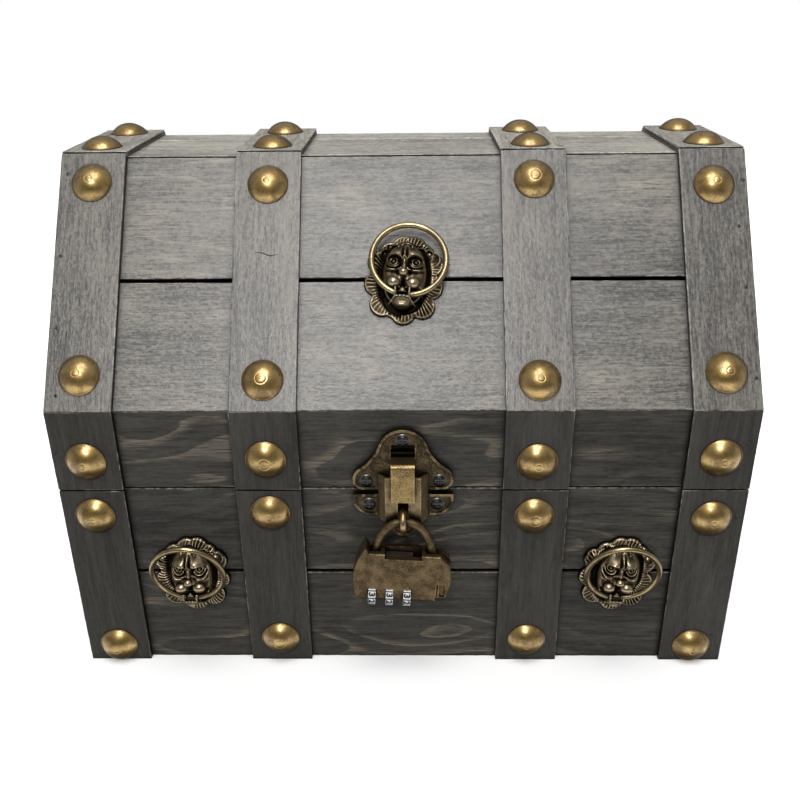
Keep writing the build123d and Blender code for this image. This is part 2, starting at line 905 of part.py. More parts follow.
channel_plane = Plane(
    origin=(hasp_offset, wood_front, seam_height + channel_top), x_dir=(1, 0, 0), z_dir=(0, 0, -1)
)
channel_side_run = channel_half_width - channel_face_half_width
channel_side_rise = channel_depth - hasp_plate_thickness
channel_skew = math.hypot(channel_side_run, channel_side_rise) / channel_side_rise
inner_foot = channel_half_width - channel_wall * channel_skew
inner_face = (
    channel_face_half_width
    + channel_wall * channel_side_run / channel_side_rise
    - channel_wall * channel_skew
)
with BuildPart() as channel:
    with BuildSketch(channel_plane) as hat:
        with BuildLine():
            Polyline(
                (-channel_half_width, hasp_plate_thickness),
                (-channel_face_half_width, channel_depth),
                (channel_face_half_width, channel_depth),
                (channel_half_width, hasp_plate_thickness),
                (inner_foot, hasp_plate_thickness),
                (inner_face, channel_depth - channel_wall),
                (-inner_face, channel_depth - channel_wall),
                (-inner_foot, hasp_plate_thickness),
                close=True,
            )
        make_face()
        fillet(hat.vertices().group_by(Axis.Y)[0], radius=channel_round)
    extrude(amount=channel_top + channel_drop)
    with BuildSketch(hasp_plane) as slot:
        with Locations((0, (channel_slot_top - channel_drop) / 2 - overrun / 2)):
            Rectangle(channel_slot_width, channel_slot_top + channel_drop + overrun)
        fillet(slot.vertices().group_by(Axis.Z)[-1], radius=channel_slot_width / 2 - channel_wall / 2)
    extrude(amount=channel_depth + overrun, mode=Mode.SUBTRACT)
    with BuildSketch(hasp_plane):
        with Locations((0, channel_top + lid_plate_start - seam_gap)):
            Rectangle(2 * keeper_plate_half_width, 2 * channel_top + 2 * seam_gap)
    extrude(
        amount=hasp_plate_thickness + channel_clearance,
        mode=Mode.SUBTRACT,
    )
save(channel.part, "hasp_channel")

eye_plane = Plane(
    origin=(hasp_offset, wood_front - eye_reach, seam_height - eye_drop),
    x_dir=(0, -1, 0),
    z_dir=(1, 0, 0),
)
with BuildPart() as padlock_eye:
    with Locations(eye_plane.location):
        Torus(eye_major_radius, eye_wire_radius)
    with BuildSketch(wall_plane(hasp_offset, seam_height - eye_drop, board_face - hasp_plate_thickness)):
        Circle(eye_wire_radius)
    extrude(amount=eye_reach - eye_major_radius - hasp_plate_thickness)
save(padlock_eye.part, "padlock_eye")

# Padlock: its own plane has its origin at the shackle's crown and is tilted a little
shackle_drop = eye_drop + padlock_hang
tilt = math.radians(padlock_tilt)
padlock_plane = Plane(
    origin=(padlock_offset, wood_front - eye_reach, seam_height - shackle_drop),
    x_dir=(math.cos(tilt), 0, -math.sin(tilt)),
    z_dir=(0, -1, 0),
)
crown_angle = math.radians(shackle_crown_angle)
shoulder_x = shackle_crown_radius * math.sin(crown_angle)
shoulder_y = -shackle_crown_radius * (1 - math.cos(crown_angle))
side_radius = (shackle_span / 2 - shoulder_x) / (1 - math.sin(crown_angle))
side_end = shoulder_y - side_radius * math.cos(crown_angle)
side_middle = (math.pi + math.pi / 2 + crown_angle) / 2
side_x = side_radius * (1 + math.cos(side_middle)) - shackle_span / 2
side_y = side_end + side_radius * math.sin(side_middle)
foot_y = -case_drop - shackle_foot
with BuildPart() as shackle:
    with BuildLine(padlock_plane) as bow:
        left_foot = Line((-shackle_span / 2, foot_y), (-shackle_span / 2, side_end))
        left_side = ThreePointArc(left_foot @ 1, (side_x, side_y), (-shoulder_x, shoulder_y))
        crown = ThreePointArc(left_side @ 1, (0, 0), (shoulder_x, shoulder_y))
        right_side = ThreePointArc(crown @ 1, (-side_x, side_y), (shackle_span / 2, side_end))
        right_foot = Line(right_side @ 1, (shackle_span / 2, foot_y))
    with BuildSketch(Plane(origin=bow.line @ 0, z_dir=bow.line % 0)):
        Circle(shackle_wire_radius)
    sweep(path=bow.line)
    with BuildSketch(padlock_plane.offset(-shackle_boss_width / 2)):
        with Locations((shackle_span / 2, foot_y)):
            Circle(shackle_boss_radius)
    extrude(amount=shackle_boss_width)
    with BuildSketch(padlock_plane.offset(-shackle_boss_radius)):
        with Locations((shackle_span / 2, foot_y)):
            Circle(pivot_pin_radius + running_clearance)
    extrude(amount=2 * shackle_boss_radius, mode=Mode.SUBTRACT)
save(shackle.part, "padlock_shackle")

case_top = -case_drop
case_bottom = -case_drop - case_height
case_middle = (case_top + case_bottom) / 2
dial_y = case_bottom + dial_lift
dial_offsets = [dial_first_offset + step * dial_spacing for step in range(3)]
wire_room = shackle_wire_radius + case_fit


def case_outline():
    """The case's outline: barrel sides, a horn at the left shoulder, a falling right shoulder."""
    left_side_arc = ThreePointArc(
        (-case_foot_width / 2, case_bottom),
        (-case_width / 2, case_middle),
        (-case_shoulder_width / 2, case_top + case_horn),
    )
    right_side_arc = ThreePointArc(
        (case_width / 2 - case_round, case_top - case_slope_drop),
        (case_width / 2, case_middle),
        (case_foot_width / 2, case_bottom + case_step),
    )
    Line(left_side_arc @ 1, (case_horn_run - case_shoulder_width / 2, case_top))
    Line(
        (case_horn_run - case_shoulder_width / 2, case_top),
        (case_width / 2 - case_round - case_slope_run, case_top),
    )
    Line((case_width / 2 - case_round - case_slope_run, case_top), right_side_arc @ 0)
    Polyline(
        right_side_arc @ 1,
        (groove_offset, case_bottom + case_step),
        (groove_offset, case_bottom),
        left_side_arc @ 0,
    )


def cut_case():
    """The hollows that both halves share: shackle holes, slider track, dial pockets and axle bore."""
    pivot_middle = shackle_span / 2
    with BuildSketch(padlock_plane.offset(-wire_room)) as hollows:
        with Locations((-pivot_middle, case_top + (case_horn - shackle_foot - case_fit) / 2)):
            Rectangle(2 * wire_room + case_fit, shackle_foot + case_horn + case_fit)
        slot_low = foot_y - wire_room - case_fit
        slot_left = pivot_middle - wire_room - case_fit
        with Locations(((slot_left + case_width) / 2, (slot_low + case_top + case_horn) / 2)):
            Rectangle(case_width - slot_left, case_top + case_horn - slot_low)
        with Locations((pivot_middle, foot_y)):
            Circle(shackle_boss_radius + case_fit)
        track_height = notch_depth + slider_height + 2 * slider_clearance
        with Locations((0, case_top - track_height / 2 + case_horn / 2)):
            Rectangle(notch_width, track_height + case_horn)
    extrude(hollows.sketch, amount=2 * wire_room, mode=Mode.SUBTRACT)
    for offset_x in dial_offsets:
        start = offset_x - dial_width / 2 - dial_clearance
        cylinder_cut(start, dial_width + 2 * dial_clearance, dial_radius + dial_clearance)
    bore_start = dial_offsets[0] - dial_width / 2 - axle_grip
    bore_length = dial_offsets[-1] - dial_offsets[0] + dial_width + 2 * axle_grip
    cylinder_cut(bore_start, bore_length, axle_radius + running_clearance)


def dial_plane(start):
    """A plane across the dials' axle at a place along the case."""
    return Plane(
        origin=padlock_plane.from_local_coords((start, dial_y, dial_forward)),
        x_dir=padlock_plane.y_dir,
        z_dir=padlock_plane.x_dir,
    )


def cylinder_cut(start, length, radius):
    with BuildSketch(dial_plane(start)) as disc:
        Circle(radius)
    extrude(disc.sketch, amount=length, mode=Mode.SUBTRACT)


def pivot_hole():
    with BuildSketch(padlock_plane.offset(-wire_room - pivot_pin_grip)) as disc:
        with Locations((shackle_span / 2, foot_y)):
            Circle(pivot_pin_radius)
    extrude(disc.sketch, amount=2 * wire_room + 2 * pivot_pin_grip, mode=Mode.SUBTRACT)


for name, start, outward in (("front", 0, 1), ("back", 0, -1)):
    with BuildPart() as case_half:
        with BuildSketch(padlock_plane):
            with BuildLine():
                case_outline()
            make_face()
        extrude(amount=outward * case_thickness / 2)
        outer_face = case_half.faces().sort_by(Axis.Y)[0 if outward > 0 else -1]
        fillet(outer_face.edges(), radius=case_round)
        cut_case()
        pivot_hole()
        if outward > 0:
            with BuildSketch(padlock_plane):
                with Locations((0, case_top)):
                    Rectangle(notch_width, 2 * notch_depth)
            extrude(amount=case_thickness, mode=Mode.SUBTRACT)
            with BuildSketch(padlock_plane.offset(case_thickness / 2 - groove_depth)):
                step_line = case_bottom + case_step
                with Locations((groove_offset + groove_width / 2, step_line + groove_length / 2)):
                    Rectangle(groove_width, groove_length)
                with Locations((pocket_offset, step_line + pocket_lift + pocket_length / 2)):
                    Rectangle(pocket_width, pocket_length)
            extrude(amount=groove_depth + overrun, mode=Mode.SUBTRACT)
    save(case_half.part, f"padlock_case_{name}")

with BuildPart() as pivot_pin:
    with BuildSketch(padlock_plane.offset(-wire_room - pivot_pin_grip)):
        with Locations((shackle_span / 2, foot_y)):
            Circle(pivot_pin_radius)
    extrude(amount=2 * wire_room + 2 * pivot_pin_grip)
save(pivot_pin.part, "padlock_pivot_pin")

with BuildPart() as axle:
    with BuildSketch(dial_plane(dial_offsets[0] - dial_width / 2 - axle_grip)):
        Circle(axle_radius)
    extrude(amount=dial_offsets[-1] - dial_offsets[0] + dial_width + 2 * axle_grip)
save(axle.part, "padlock_dial_axle")

for name, offset_x in zip(("left", "middle", "right"), dial_offsets):
    with BuildPart() as dial:
        with BuildSketch(dial_plane(offset_x - dial_width / 2)):
            Circle(dial_radius)
            Circle(axle_radius + running_clearance, mode=Mode.SUBTRACT)
        extrude(amount=dial_width)
    save(dial.part, f"padlock_dial_{name}")

with BuildPart() as slider:
    slider_middle = case_top - notch_depth - slider_clearance - slider_height / 2
    slider_start = slider_clearance - notch_width / 2 + slider_length / 2
    with BuildSketch(padlock_plane.offset(-slider_width / 2)):
        with Locations((slider_start, slider_middle)):
            Rectangle(slider_length, slider_height)
    extrude(amount=slider_width)
save(slider.part, "padlock_slider")

# Where the joints are
pivot = padlock_plane.from_local_coords((shackle_span / 2, foot_y, 0))
dial_middle = padlock_plane.from_local_coords((0, dial_y, dial_forward))
joint_places["lid"] = (Vector(0, hinge_axis_y, seam_height), Vector(-1, 0, 0))
joint_places["hasp_tongue"] = (
    Vector(hasp_offset, wood_front - tongue_pivot_depth, seam_height + tongue_pivot_height),
    Vector(-1, 0, 0),
)
joint_places["padlock_swing"] = (padlock_plane.origin, Vector(-1, 0, 0))
joint_places["padlock_case"] = (pivot, padlock_plane.z_dir)
joint_places["padlock_dials"] = (dial_middle, padlock_plane.x_dir)
joint_places["padlock_slider"] = (padlock_plane.origin, padlock_plane.x_dir)
for name, (place, axis) in joint_places.items():
    print(name, [round(value, 3) for value in place], [round(value, 6) for value in axis])
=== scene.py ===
"""Looks of a wooden treasure chest: stained boards, antiqued brass nails and lion masks, hasp and padlock."""

import math

import bpy
import numpy as np
from mathutils import Matrix, Vector


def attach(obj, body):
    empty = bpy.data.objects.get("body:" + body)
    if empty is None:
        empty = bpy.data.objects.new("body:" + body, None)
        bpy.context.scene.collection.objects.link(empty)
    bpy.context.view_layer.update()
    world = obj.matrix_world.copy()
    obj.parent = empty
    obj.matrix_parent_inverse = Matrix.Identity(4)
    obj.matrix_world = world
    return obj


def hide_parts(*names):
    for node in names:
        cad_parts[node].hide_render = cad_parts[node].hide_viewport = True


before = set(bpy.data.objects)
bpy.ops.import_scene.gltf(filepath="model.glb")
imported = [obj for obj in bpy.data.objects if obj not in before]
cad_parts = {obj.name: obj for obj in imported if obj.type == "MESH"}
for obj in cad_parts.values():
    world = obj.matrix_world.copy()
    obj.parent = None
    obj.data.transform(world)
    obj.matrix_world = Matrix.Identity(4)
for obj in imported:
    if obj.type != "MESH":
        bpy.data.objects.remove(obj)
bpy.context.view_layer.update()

# ---------------- sizes, in millimetres, as the construction has them
MM = 0.001
HALF_WIDTH = 150.0
HALF_DEPTH = 100.5
HALF_TOP = 33.0
HEIGHT = 227.5
SEAM = 94.0
KINK = 132.0
SEAM_GAP = 0.6
PLANK_GAP = 1.7
CORNER_GAP = 0.7
FACE = 2.5
BACK = 10.5
STRAP_WIDTH = 28.59
STRAP_MIDDLES = (-135.705, -58.095, 58.095, 135.705)
BAY_MIDDLE = 96.9
BASE_JOINT = 0.521 * SEAM
WOOD_Y = FACE - HALF_DEPTH
SEAM_LOW = SEAM - SEAM_GAP / 2
SEAM_HIGH = SEAM + SEAM_GAP / 2
SLOPE_LENGTH = math.hypot(HALF_DEPTH - HALF_TOP, HEIGHT - KINK)
SLOPE_COS = (HALF_DEPTH - HALF_TOP) / SLOPE_LENGTH
SLOPE_SIN = (HEIGHT - KINK) / SLOPE_LENGTH
SLOPE_JOINT = 0.489 * SLOPE_LENGTH
TOP_JOINT = 0.682 * 2 * HALF_TOP - HALF_TOP
DOME_RADIUS = 9.0
DOME_HEIGHT = 5.0
EDGE = 0.75

# ---------------- camera, floor and light
CAMERA_PLACE = (0.0060, -0.4283, 0.2909)
CAMERA_PITCH = 25.10
CAMERA_YAW = 1.10
CAMERA_ROLL = -0.654
FOCAL_SHARE = 876.27 / 800

# name, place, target, width, power, shown in gloss
LIGHTS = (
    ("key_light", (0.0, -0.95, 3.1), (0, 0, 0.12), 2.0, 55, True),
    ("slope_light", (-0.20, -1.80, 1.85), (0, 0, 0.15), 0.65, 27.5, True),
    ("back_light", (0.0, 1.3, 2.2), (0, 0.9, 0), 1.6, 46, False),
)
# the room's greys by height, from straight down to straight up
ROOM_GREYS = (
    (-1.0, 0.09), (-0.78, 0.12), (-0.66, 0.9), (-0.25, 0.9), (-0.05, 0.35), (0.04, 0.07), (0.40, 0.18), (0.70, 0.45),
    (1.0, 0.6),
)
SIDE_GREY = 0.55
LOW_GLOW = 0.85
FLOOR_REACH = 1.5
WHITE = (1, 1, 1, 1)


def make_camera():
    """The photograph's view, from a fit of the chest's straight edges: pitched down, turned by the yaw, rolled."""
    data = bpy.data.cameras.new("photo_camera")
    data.sensor_width = 36.0
    data.lens = FOCAL_SHARE * data.sensor_width
    data.clip_start = 0.01
    camera = bpy.data.objects.new("photo_camera", data)
    turns = ((CAMERA_YAW, "Z"), (90.0 - CAMERA_PITCH, "X"), (CAMERA_ROLL, "Z"))
    yaw, pitch, roll = (Matrix.Rotation(math.radians(angle), 4, axis) for angle, axis in turns)
    camera.matrix_world = Matrix.Translation(CAMERA_PLACE) @ yaw @ pitch @ roll
    bpy.context.scene.collection.objects.link(camera)
    bpy.context.scene.camera = camera


def add_area(name, place, target, size, power, mirrored):
    """A round soft light at a place, aimed at a target; mirrored lets metal show it."""
    data = bpy.data.lights.new(name, "AREA")
    data.shape = "DISK"
    data.size = size
    data.energy = power
    light = bpy.data.objects.new(name, data)
    light.location = place
    light.visible_glossy = mirrored
    light.rotation_euler = (Vector(target) - Vector(place)).to_track_quat("-Z", "Y").to_euler()
    bpy.context.scene.collection.objects.link(light)


def make_room():
    """White for the camera; for light and gloss a room whose grey goes by height, grey at both sides, with a bright
    band below the horizon that stands for the pale floor, which gloss doesn't see."""
    bpy.context.scene.view_settings.view_transform = "Standard"
    world = bpy.data.worlds.new("plain_room")
    bpy.context.scene.world = world
    world.use_nodes = True
    tree = world.node_tree
    way = add_node(tree, "TexCoord").outputs["Generated"]
    across, _, height = add_node(tree, "SeparateXYZ", {"Vector": way}).outputs
    side = maths("POWER", maths("ABSOLUTE", across), 3.0)
    light = blend(side, grey_ramp(height, ROOM_GREYS), grey(SIDE_GREY))
    seen = add_node(tree, "LightPath").outputs["Is Camera Ray"]
    low_band = times(window(height, -0.78, -0.66), window(height, -0.20, -0.30))
    wire(tree.nodes["Background"], {
        "Color": blend(seen, light, WHITE),
        "Strength": maths("ADD", times(low_band, LOW_GLOW), 1.0),
    })


def make_stage():
    """A pale floor, a wide light high in front, a smaller one low in front that rakes the slopes, and one behind."""
    mesh = bpy.data.meshes.new("floor")
    corners = [(x * FLOOR_REACH, y * FLOOR_REACH, 0) for x, y in ((-1, -1), (1, -1), (1, 1), (-1, 1))]
    mesh.from_pydata(corners, [], [(0, 1, 2, 3)])
    floor = bpy.data.objects.new("floor", mesh)
    bpy.context.scene.collection.objects.link(floor)
    material, shader = new_finish("pale_floor")
    wire(shader, {"Base Color": grey(0.93), "Roughness": 0.9})
    mesh.materials.append(material)
    floor.visible_glossy = False
    make_room()
    for light in LIGHTS:
        add_area(*light)


# ---------------- node helpers
def new_finish(name):
    """An empty material and its surface node."""
    material = bpy.data.materials.new(name)
    material.use_nodes = True
    return material, material.node_tree.nodes["Principled BSDF"]


def wire(node, inputs):
    """A node's sockets, each linked to another socket or set to a value."""
    for key, value in inputs.items():
        if isinstance(value, bpy.types.NodeSocket):
            node.id_data.links.new(value, node.inputs[key])
        else:
            node.inputs[key].default_value = value


def add_node(source, kind, inputs=None, **settings):
    """A node in the source's tree, set and wired. The source is the node tree, or any node or socket in it; a helper
    whose first value is a socket takes that one."""
    node = source.id_data.nodes.new(f"ShaderNode{kind}")
    for key, value in settings.items():
        setattr(node, key, value)
    wire(node, inputs or {})
    return node


def maths(operation, a, b=0.0, clamp=False):
    """One sum of two values; clamp keeps the result between 0 and 1."""
    return add_node(a, "Math", {0: a, 1: b}, operation=operation, use_clamp=clamp).outputs[0]


def times(a, b):
    return maths("MULTIPLY", a, b)


def blend(factor, a, b):
    """Colour a where the factor is 0, colour b where it is 1."""
    return add_node(factor, "Mix", {0: factor, 6: a, 7: b}, data_type="RGBA").outputs[2]


def tint(colour, gain=1.0):
    """A colour times a gain, which is one number or one for each channel."""
    gains = gain if isinstance(gain, tuple) else (gain, gain, gain)
    return (*(channel * share for channel, share in zip(colour, gains)), 1)


def grey(tone):
    return (tone, tone, tone, 1)


def grey_ramp(factor, stops):
    """Greys by a factor between -1 and 1, straight lines between the stops."""
    share = add_node(factor, "MapRange", {"Value": factor, "From Min": -1.0, "From Max": 1.0}).outputs[0]
    node = add_node(factor, "ValToRGB", {"Fac": share})
    line = node.color_ramp
    for index, (place, tone) in enumerate(stops):
        place = (place + 1) / 2
        stop = line.elements[index] if index < 2 else line.elements.new(place)
        stop.position = place
        stop.color = grey(tone)
    return node.outputs["Color"]


def window(factor, start, end):
    """0 below start, 1 above end, smooth between; start may lie above end."""
    span = {"Value": factor, "From Min": start, "From Max": end}
    return add_node(factor, "MapRange", span, interpolation_type="SMOOTHSTEP").outputs[0]


def stretched(place, scales, shift=(0, 0, 0)):
    """Coordinates times one scale for each direction, then shifted."""
    return add_node(place, "Mapping", {"Vector": place, "Scale": scales, "Location": shift}).outputs["Vector"]


def noise(place, scale=1.0, detail=4.0, roughness=0.55, distortion=0.0):
    """Cloudy noise around 0.5; detail counts its octaves and roughness is each octave's share of the one before."""
    inputs = {"Vector": place, "Scale": scale, "Detail": detail, "Roughness": roughness, "Distortion": distortion}
    return add_node(place, "TexNoise", inputs).outputs["Fac"]


def attribute(source, name, output="Fac"):
    return add_node(source, "Attribute", attribute_name=name).outputs[output]


def object_place(source):
    return add_node(source, "TexCoord").outputs["Object"]


def open_sky(source, reach):
    """How free a point is of walls nearer than the reach: 0 shut in, 1 open."""
    return add_node(source, "AmbientOcclusion", {"Distance": reach}, samples=6).outputs["AO"]


def flatness(source, radius):
    """1 on level ground, less within a radius of a sharp edge: the softened normal times the true one."""
    soft_way = add_node(source, "Bevel", {"Radius": radius}, samples=6).outputs["Normal"]
    true_way = add_node(source, "NewGeometry").outputs["Normal"]
    return add_node(source, "VectorMath", {0: soft_way, 1: true_way}, operation="DOT_PRODUCT").outputs["Value"]


def bump(height, distance, strength, under=None):
    """A normal tilted by a height's slope, laid over the normal under it."""
    inputs = {"Height": height, "Distance": distance, "Strength": strength}
    if under is not None:
        inputs["Normal"] = under
    return add_node(height, "Bump", inputs).outputs["Normal"]


# ---------------- finishes
# Each layer of the stain: scales along the grain, across it and in depth; shift; detail, roughness and distortion; the
# window that makes it light; its share of the whole, and what a soft face adds to that share
STAIN_LAYERS = {
    "streak": ((9, 110, 110), (0, 0, 0), (6.0, 0.65, 0.5), (0.32, 0.68), (0.24, -0.10)),
    "band": ((30, 420, 420), (0, 0, 0), (3.0, 0.6), (0.36, 0.64), (0.20, -0.08)),
    "fibre": ((90, 1300, 1300), (0, 0, 0), (3.0, 0.65), (0.36, 0.64), (0.26, 0.02)),
    "mottle": ((420, 700, 700), (0, 0, 0), (5.0, 0.75), (0.36, 0.64), (0.16, 0.20)),
    "broad": ((9, 16, 16), (3, 1, 0), (3.0, 0.55), (0.30, 0.70), (0.20, 0.02)),
}
ARCHES_PER_SWELL = 9.0
ARCH_GAIN = (2.9, 2.6, 2.3)
SEAM_SHADE_REACH = 0.0038


def grain_arches(place, broad, fibre):
    """The arched figure of sawn softwood: contour lines of a slow noise drawn out along the grain, sharp on one side,
    fading where the broad noise is low and broken up by the fibres."""
    slow = noise(stretched(place, (9, 30, 30)), 1.0, 2.0, 0.40, 0.3)
    steps = maths("FRACT", times(slow, ARCHES_PER_SWELL))
    arches = times(window(steps, 0.58, 0.95), window(steps, 1.0, 0.95))
    arches = times(arches, window(broad, 0.40, 0.62))
    return times(arches, window(fibre, 0.30, 0.62))


def rubbed_edges(place):
    """Where the stain is rubbed off: near a block's edges, ragged and in patches."""
    ragged = noise(place, 330.0, 3.0, 0.65)
    patchy = noise(place, 34.0, 2.0, 0.5)
    rub = times(window(attribute(place, "edge_wear"), 0.36, 0.85), window(ragged, 0.40, 0.60))
    return times(times(rub, window(patchy, 0.36, 0.62)), 0.85)


def wood_finish(name, dark, pale, worn, figure, roughness, gleam=0.5, own_place=True, soft=0.0):
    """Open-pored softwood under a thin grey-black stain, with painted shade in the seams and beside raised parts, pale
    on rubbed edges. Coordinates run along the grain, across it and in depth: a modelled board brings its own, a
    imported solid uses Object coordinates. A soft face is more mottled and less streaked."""
    material, shader = new_finish(name)
    if own_place:
        place = attribute(shader, "grain_place", "Vector")
    else:
        turn = {"Vector": object_place(shader), "Rotation": (0, 0, math.pi / 2)}
        place = add_node(shader, "Mapping", turn).outputs["Vector"]
    layers, lightness = {}, None
    for key, (scales, shift, character, (low, high), (share, soft_share)) in STAIN_LAYERS.items():
        layers[key] = noise(stretched(place, scales, shift), 1.0, *character)
        layer = times(window(layers[key], low, high), share + soft_share * soft)
        lightness = layer if lightness is None else maths("ADD", lightness, layer, True)
    lightness = window(lightness, 0.12 * soft, 1.0 - 0.08 * soft)
    fibre, mottle = layers["fibre"], layers["mottle"]
    pores = window(noise(stretched(place, (480, 2100, 2100)), 1.0, 3.0, 0.6), 0.56, 0.76)
    arches = grain_arches(place, layers["broad"], fibre)
    colour = blend(lightness, tint(dark), tint(pale))
    colour = blend(times(arches, figure), colour, tint(pale, ARCH_GAIN))
    colour = blend(times(pores, 0.30), colour, tint(dark, 0.6))
    # painted shade: the stain is darkened where the wood is shut in, in the seams and beside straps and nails
    shade = times(window(open_sky(shader, SEAM_SHADE_REACH), 0.93, 0.46), 0.88)
    colour = blend(shade, colour, tint(dark, 0.10))
    if own_place:
        colour = blend(rubbed_edges(place), colour, tint(worn))
    height = maths("SUBTRACT", times(fibre, 0.8), times(pores, 0.5))
    normal = bump(height, 0.00012, 0.55)
    wire(shader, {
        "Base Color": colour,
        "Roughness": maths("ADD", times(fibre, 0.22), roughness - 0.11),
        "Specular IOR Level": gleam,
        "Normal": bump(mottle, 0.00016 + 0.00012 * soft, 0.55, normal),
    })
    return material


# Painted shade on the tongue's deeper parts: how much of the deep tone a piece takes behind each depth, and how dark
# that tone is
PAINTED_SHADE_SHARES = (0.75, 0.98)
PAINTED_SHADE_TONES = (0.36, 0.05)


def brass_finish(name, bright, deep, roughness, patina=0.5, speckle=0.0, hollow="shade", rim=None, wear=0.0, base=0.0,
                 coat=0.0, painted_shade_depths=(), grain=1500.0):
    """Antiqued brass: polished high spots, brown lacquer in hollows and round rims, dark specks. Hollow names a
    modelled piece's relief attribute, or is shade for a plain solid; wear bares sharp edges; coat is a clear lacquer;
    behind two given depths a piece is painted brown, then almost black: painted shade where it runs in under the
    lid plate."""
    material, shader = new_finish(name)
    spot = object_place(shader)
    cloud = noise(spot, 190.0, 4.0, 0.6, 0.3)
    fine = noise(spot, grain, 3.0, 0.65)
    cover = maths("ADD", times(window(cloud, 0.36, 0.66), patina), base)
    if speckle:
        cover = maths("ADD", cover, times(window(fine, 0.42, 0.62), speckle), True)
    pit = None
    if hollow == "shade":
        sky = open_sky(shader, 0.0035)
        pit = window(sky, 0.80, 0.35)
        cover = maths("ADD", cover, times(window(sky, 0.95, 0.60), 0.8), True)
    elif hollow:
        height = attribute(shader, hollow)
        pit = window(height, -0.03, -0.24)
        cover = maths("ADD", cover, window(height, 0.17, -0.02), True)
        cover = maths("SUBTRACT", cover, times(window(height, 0.10, 0.30), 0.55), True)
    if wear:
        rubbed = times(window(flatness(shader, 0.0009), 0.995, 0.90), window(cloud, 0.62, 0.40))
        cover = maths("SUBTRACT", cover, times(rubbed, wear), True)
    if rim is not None:
        cover = maths("ADD", cover, times(window(attribute(shader, rim), 0.22, 0.03), 0.95), True)
    colour = blend(cover, tint(bright), tint(deep))
    if pit is not None:
        colour = blend(pit, colour, tint(deep, 0.16))
    # painted shade: brown, then near black, on what lies deeper in than the given depths
    if painted_shade_depths:
        far = add_node(spot, "SeparateXYZ", {"Vector": spot}).outputs["Y"]
        for depth, share, tone in zip(painted_shade_depths, PAINTED_SHADE_SHARES, PAINTED_SHADE_TONES):
            painted_shade_share = times(window(far, depth - 0.0003, depth + 0.0003), share)
            colour = blend(painted_shade_share, colour, tint(deep, tone))
    gloss = maths("ADD", times(cover, 0.22), roughness)
    wire(shader, {
        "Base Color": colour,
        "Metallic": 1.0,
        "Roughness": maths("ADD", gloss, times(fine, 0.10)),
        "Coat Weight": coat,
        "Coat Roughness": 0.18,
        "Normal": bump(cloud, 0.0003, 0.25, bump(fine, 0.00004, 0.35)),
    })
    return material


def steel_finish(name, tone, roughness):
    """Dark or plain steel with rubbed specks, painted black shade where it is shut in, such as a screw's cross, and
    bright on its sharp edges.
    """
    material, shader = new_finish(name)
    cloud = noise(object_place(shader), 900.0, 3.0, 0.6)
    colour = blend(window(cloud, 0.35, 0.7), tint(tone, 0.6), tint(tone))
    colour = blend(window(flatness(shader, 0.0004), 0.99, 0.90), colour, tint(tone, 3.0))
    # painted shade: near black where the steel is shut in
    colour = blend(window(open_sky(shader, 0.0012), 0.85, 0.50), colour, grey(0.003))
    wire(shader, {
        "Base Color": colour,
        "Metallic": 1.0,
        "Roughness": maths("ADD", times(cloud, 0.25), roughness),
        "Normal": bump(cloud, 0.00003, 0.4),
    })
    return material


def enamel_finish():
    """Number wheels: white patches with black between them, a little greyed and scuffed."""
    material, shader = new_finish("number_wheel_enamel")
    patch = window(attribute(shader, "patch"), 0.35, 0.65)
    scuff = noise(object_place(shader), 1300.0, 3.0, 0.6)
    white = blend(window(scuff, 0.4, 0.75), grey(0.58), grey(0.42))
    wire(shader, {
        "Base Color": blend(patch, grey(0.012), white),
        "Roughness": 0.35,
        "Normal": bump(scuff, 0.00002, 0.3),
    })
    return material


def ink_finish():
    """The numbers' black, greyer where it is worn."""
    material, shader = new_finish("number_ink")
    worn = window(noise(object_place(shader), 2600.0, 2.0, 0.5), 0.55, 0.8)
    colour = blend(worn, (0.01, 0.01, 0.012, 1), grey(0.06))
    wire(shader, {"Base Color": colour, "Roughness": 0.4})
    return material


# ---------------- mesh helpers
def ripple(points, length, seed, waves=8):
    """Smooth unevenness between about -1 and 1: the mean of sine waves with seeded directions, lengths and phases."""
    rng = np.random.default_rng(seed)
    ways = rng.normal(size=(3, waves))
    ways /= np.linalg.norm(ways, axis=0)
    lengths = length * rng.uniform(0.7, 1.7, waves)
    phases = rng.uniform(0, 2 * np.pi, waves)
    return np.sin(points @ (ways * 2 * np.pi / lengths) + phases).mean(axis=-1) * 2.0


def add_piece(name, form, body, slot, material, *replaced):
    """A mesh object out of a form (points in millimetres, faces and, if any, point attributes), riding on its body."""
    points, faces, *fields = form
    mesh = bpy.data.meshes.new(name)
    mesh.from_pydata((np.asarray(points) * MM).tolist(), [], faces)
    for key, values in (fields[0] if fields else {}).items():
        kind, field = ("FLOAT_VECTOR", "vector") if values.ndim == 2 else ("FLOAT", "value")
        mesh.attributes.new(key, kind, "POINT").data.foreach_set(field, values.astype(np.float32).ravel())
    mesh.shade_smooth()
    piece = bpy.data.objects.new(name, mesh)
    bpy.context.scene.collection.objects.link(piece)
    mesh.materials.append(material)
    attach(piece, body)
    if replaced:
        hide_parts(*replaced)


def grid_faces(rows, columns, wrap=False, start=0):
    """Quads of a grid whose points are numbered row by row; wrap joins the last column to the first."""
    r, c = np.meshgrid(np.arange(rows - 1), np.arange(columns if wrap else columns - 1), indexing="ij")
    after = (c + 1) % columns
    quads = np.stack((r * columns + c, r * columns + after, (r + 1) * columns + after, (r + 1) * columns + c), -1)
    return quads.reshape(-1, 4) + start


def tube_faces(rows, columns, turned=False):
    """Quads of a grid wrapped round, both ends closed by one face; turned looks the other way."""
    faces = [tuple(quad) for quad in grid_faces(rows, columns, True)]
    faces.append(tuple(range(columns))[::-1])
    faces.append(tuple(range((rows - 1) * columns, rows * columns)))
    return [face[::-1] for face in faces] if turned else faces


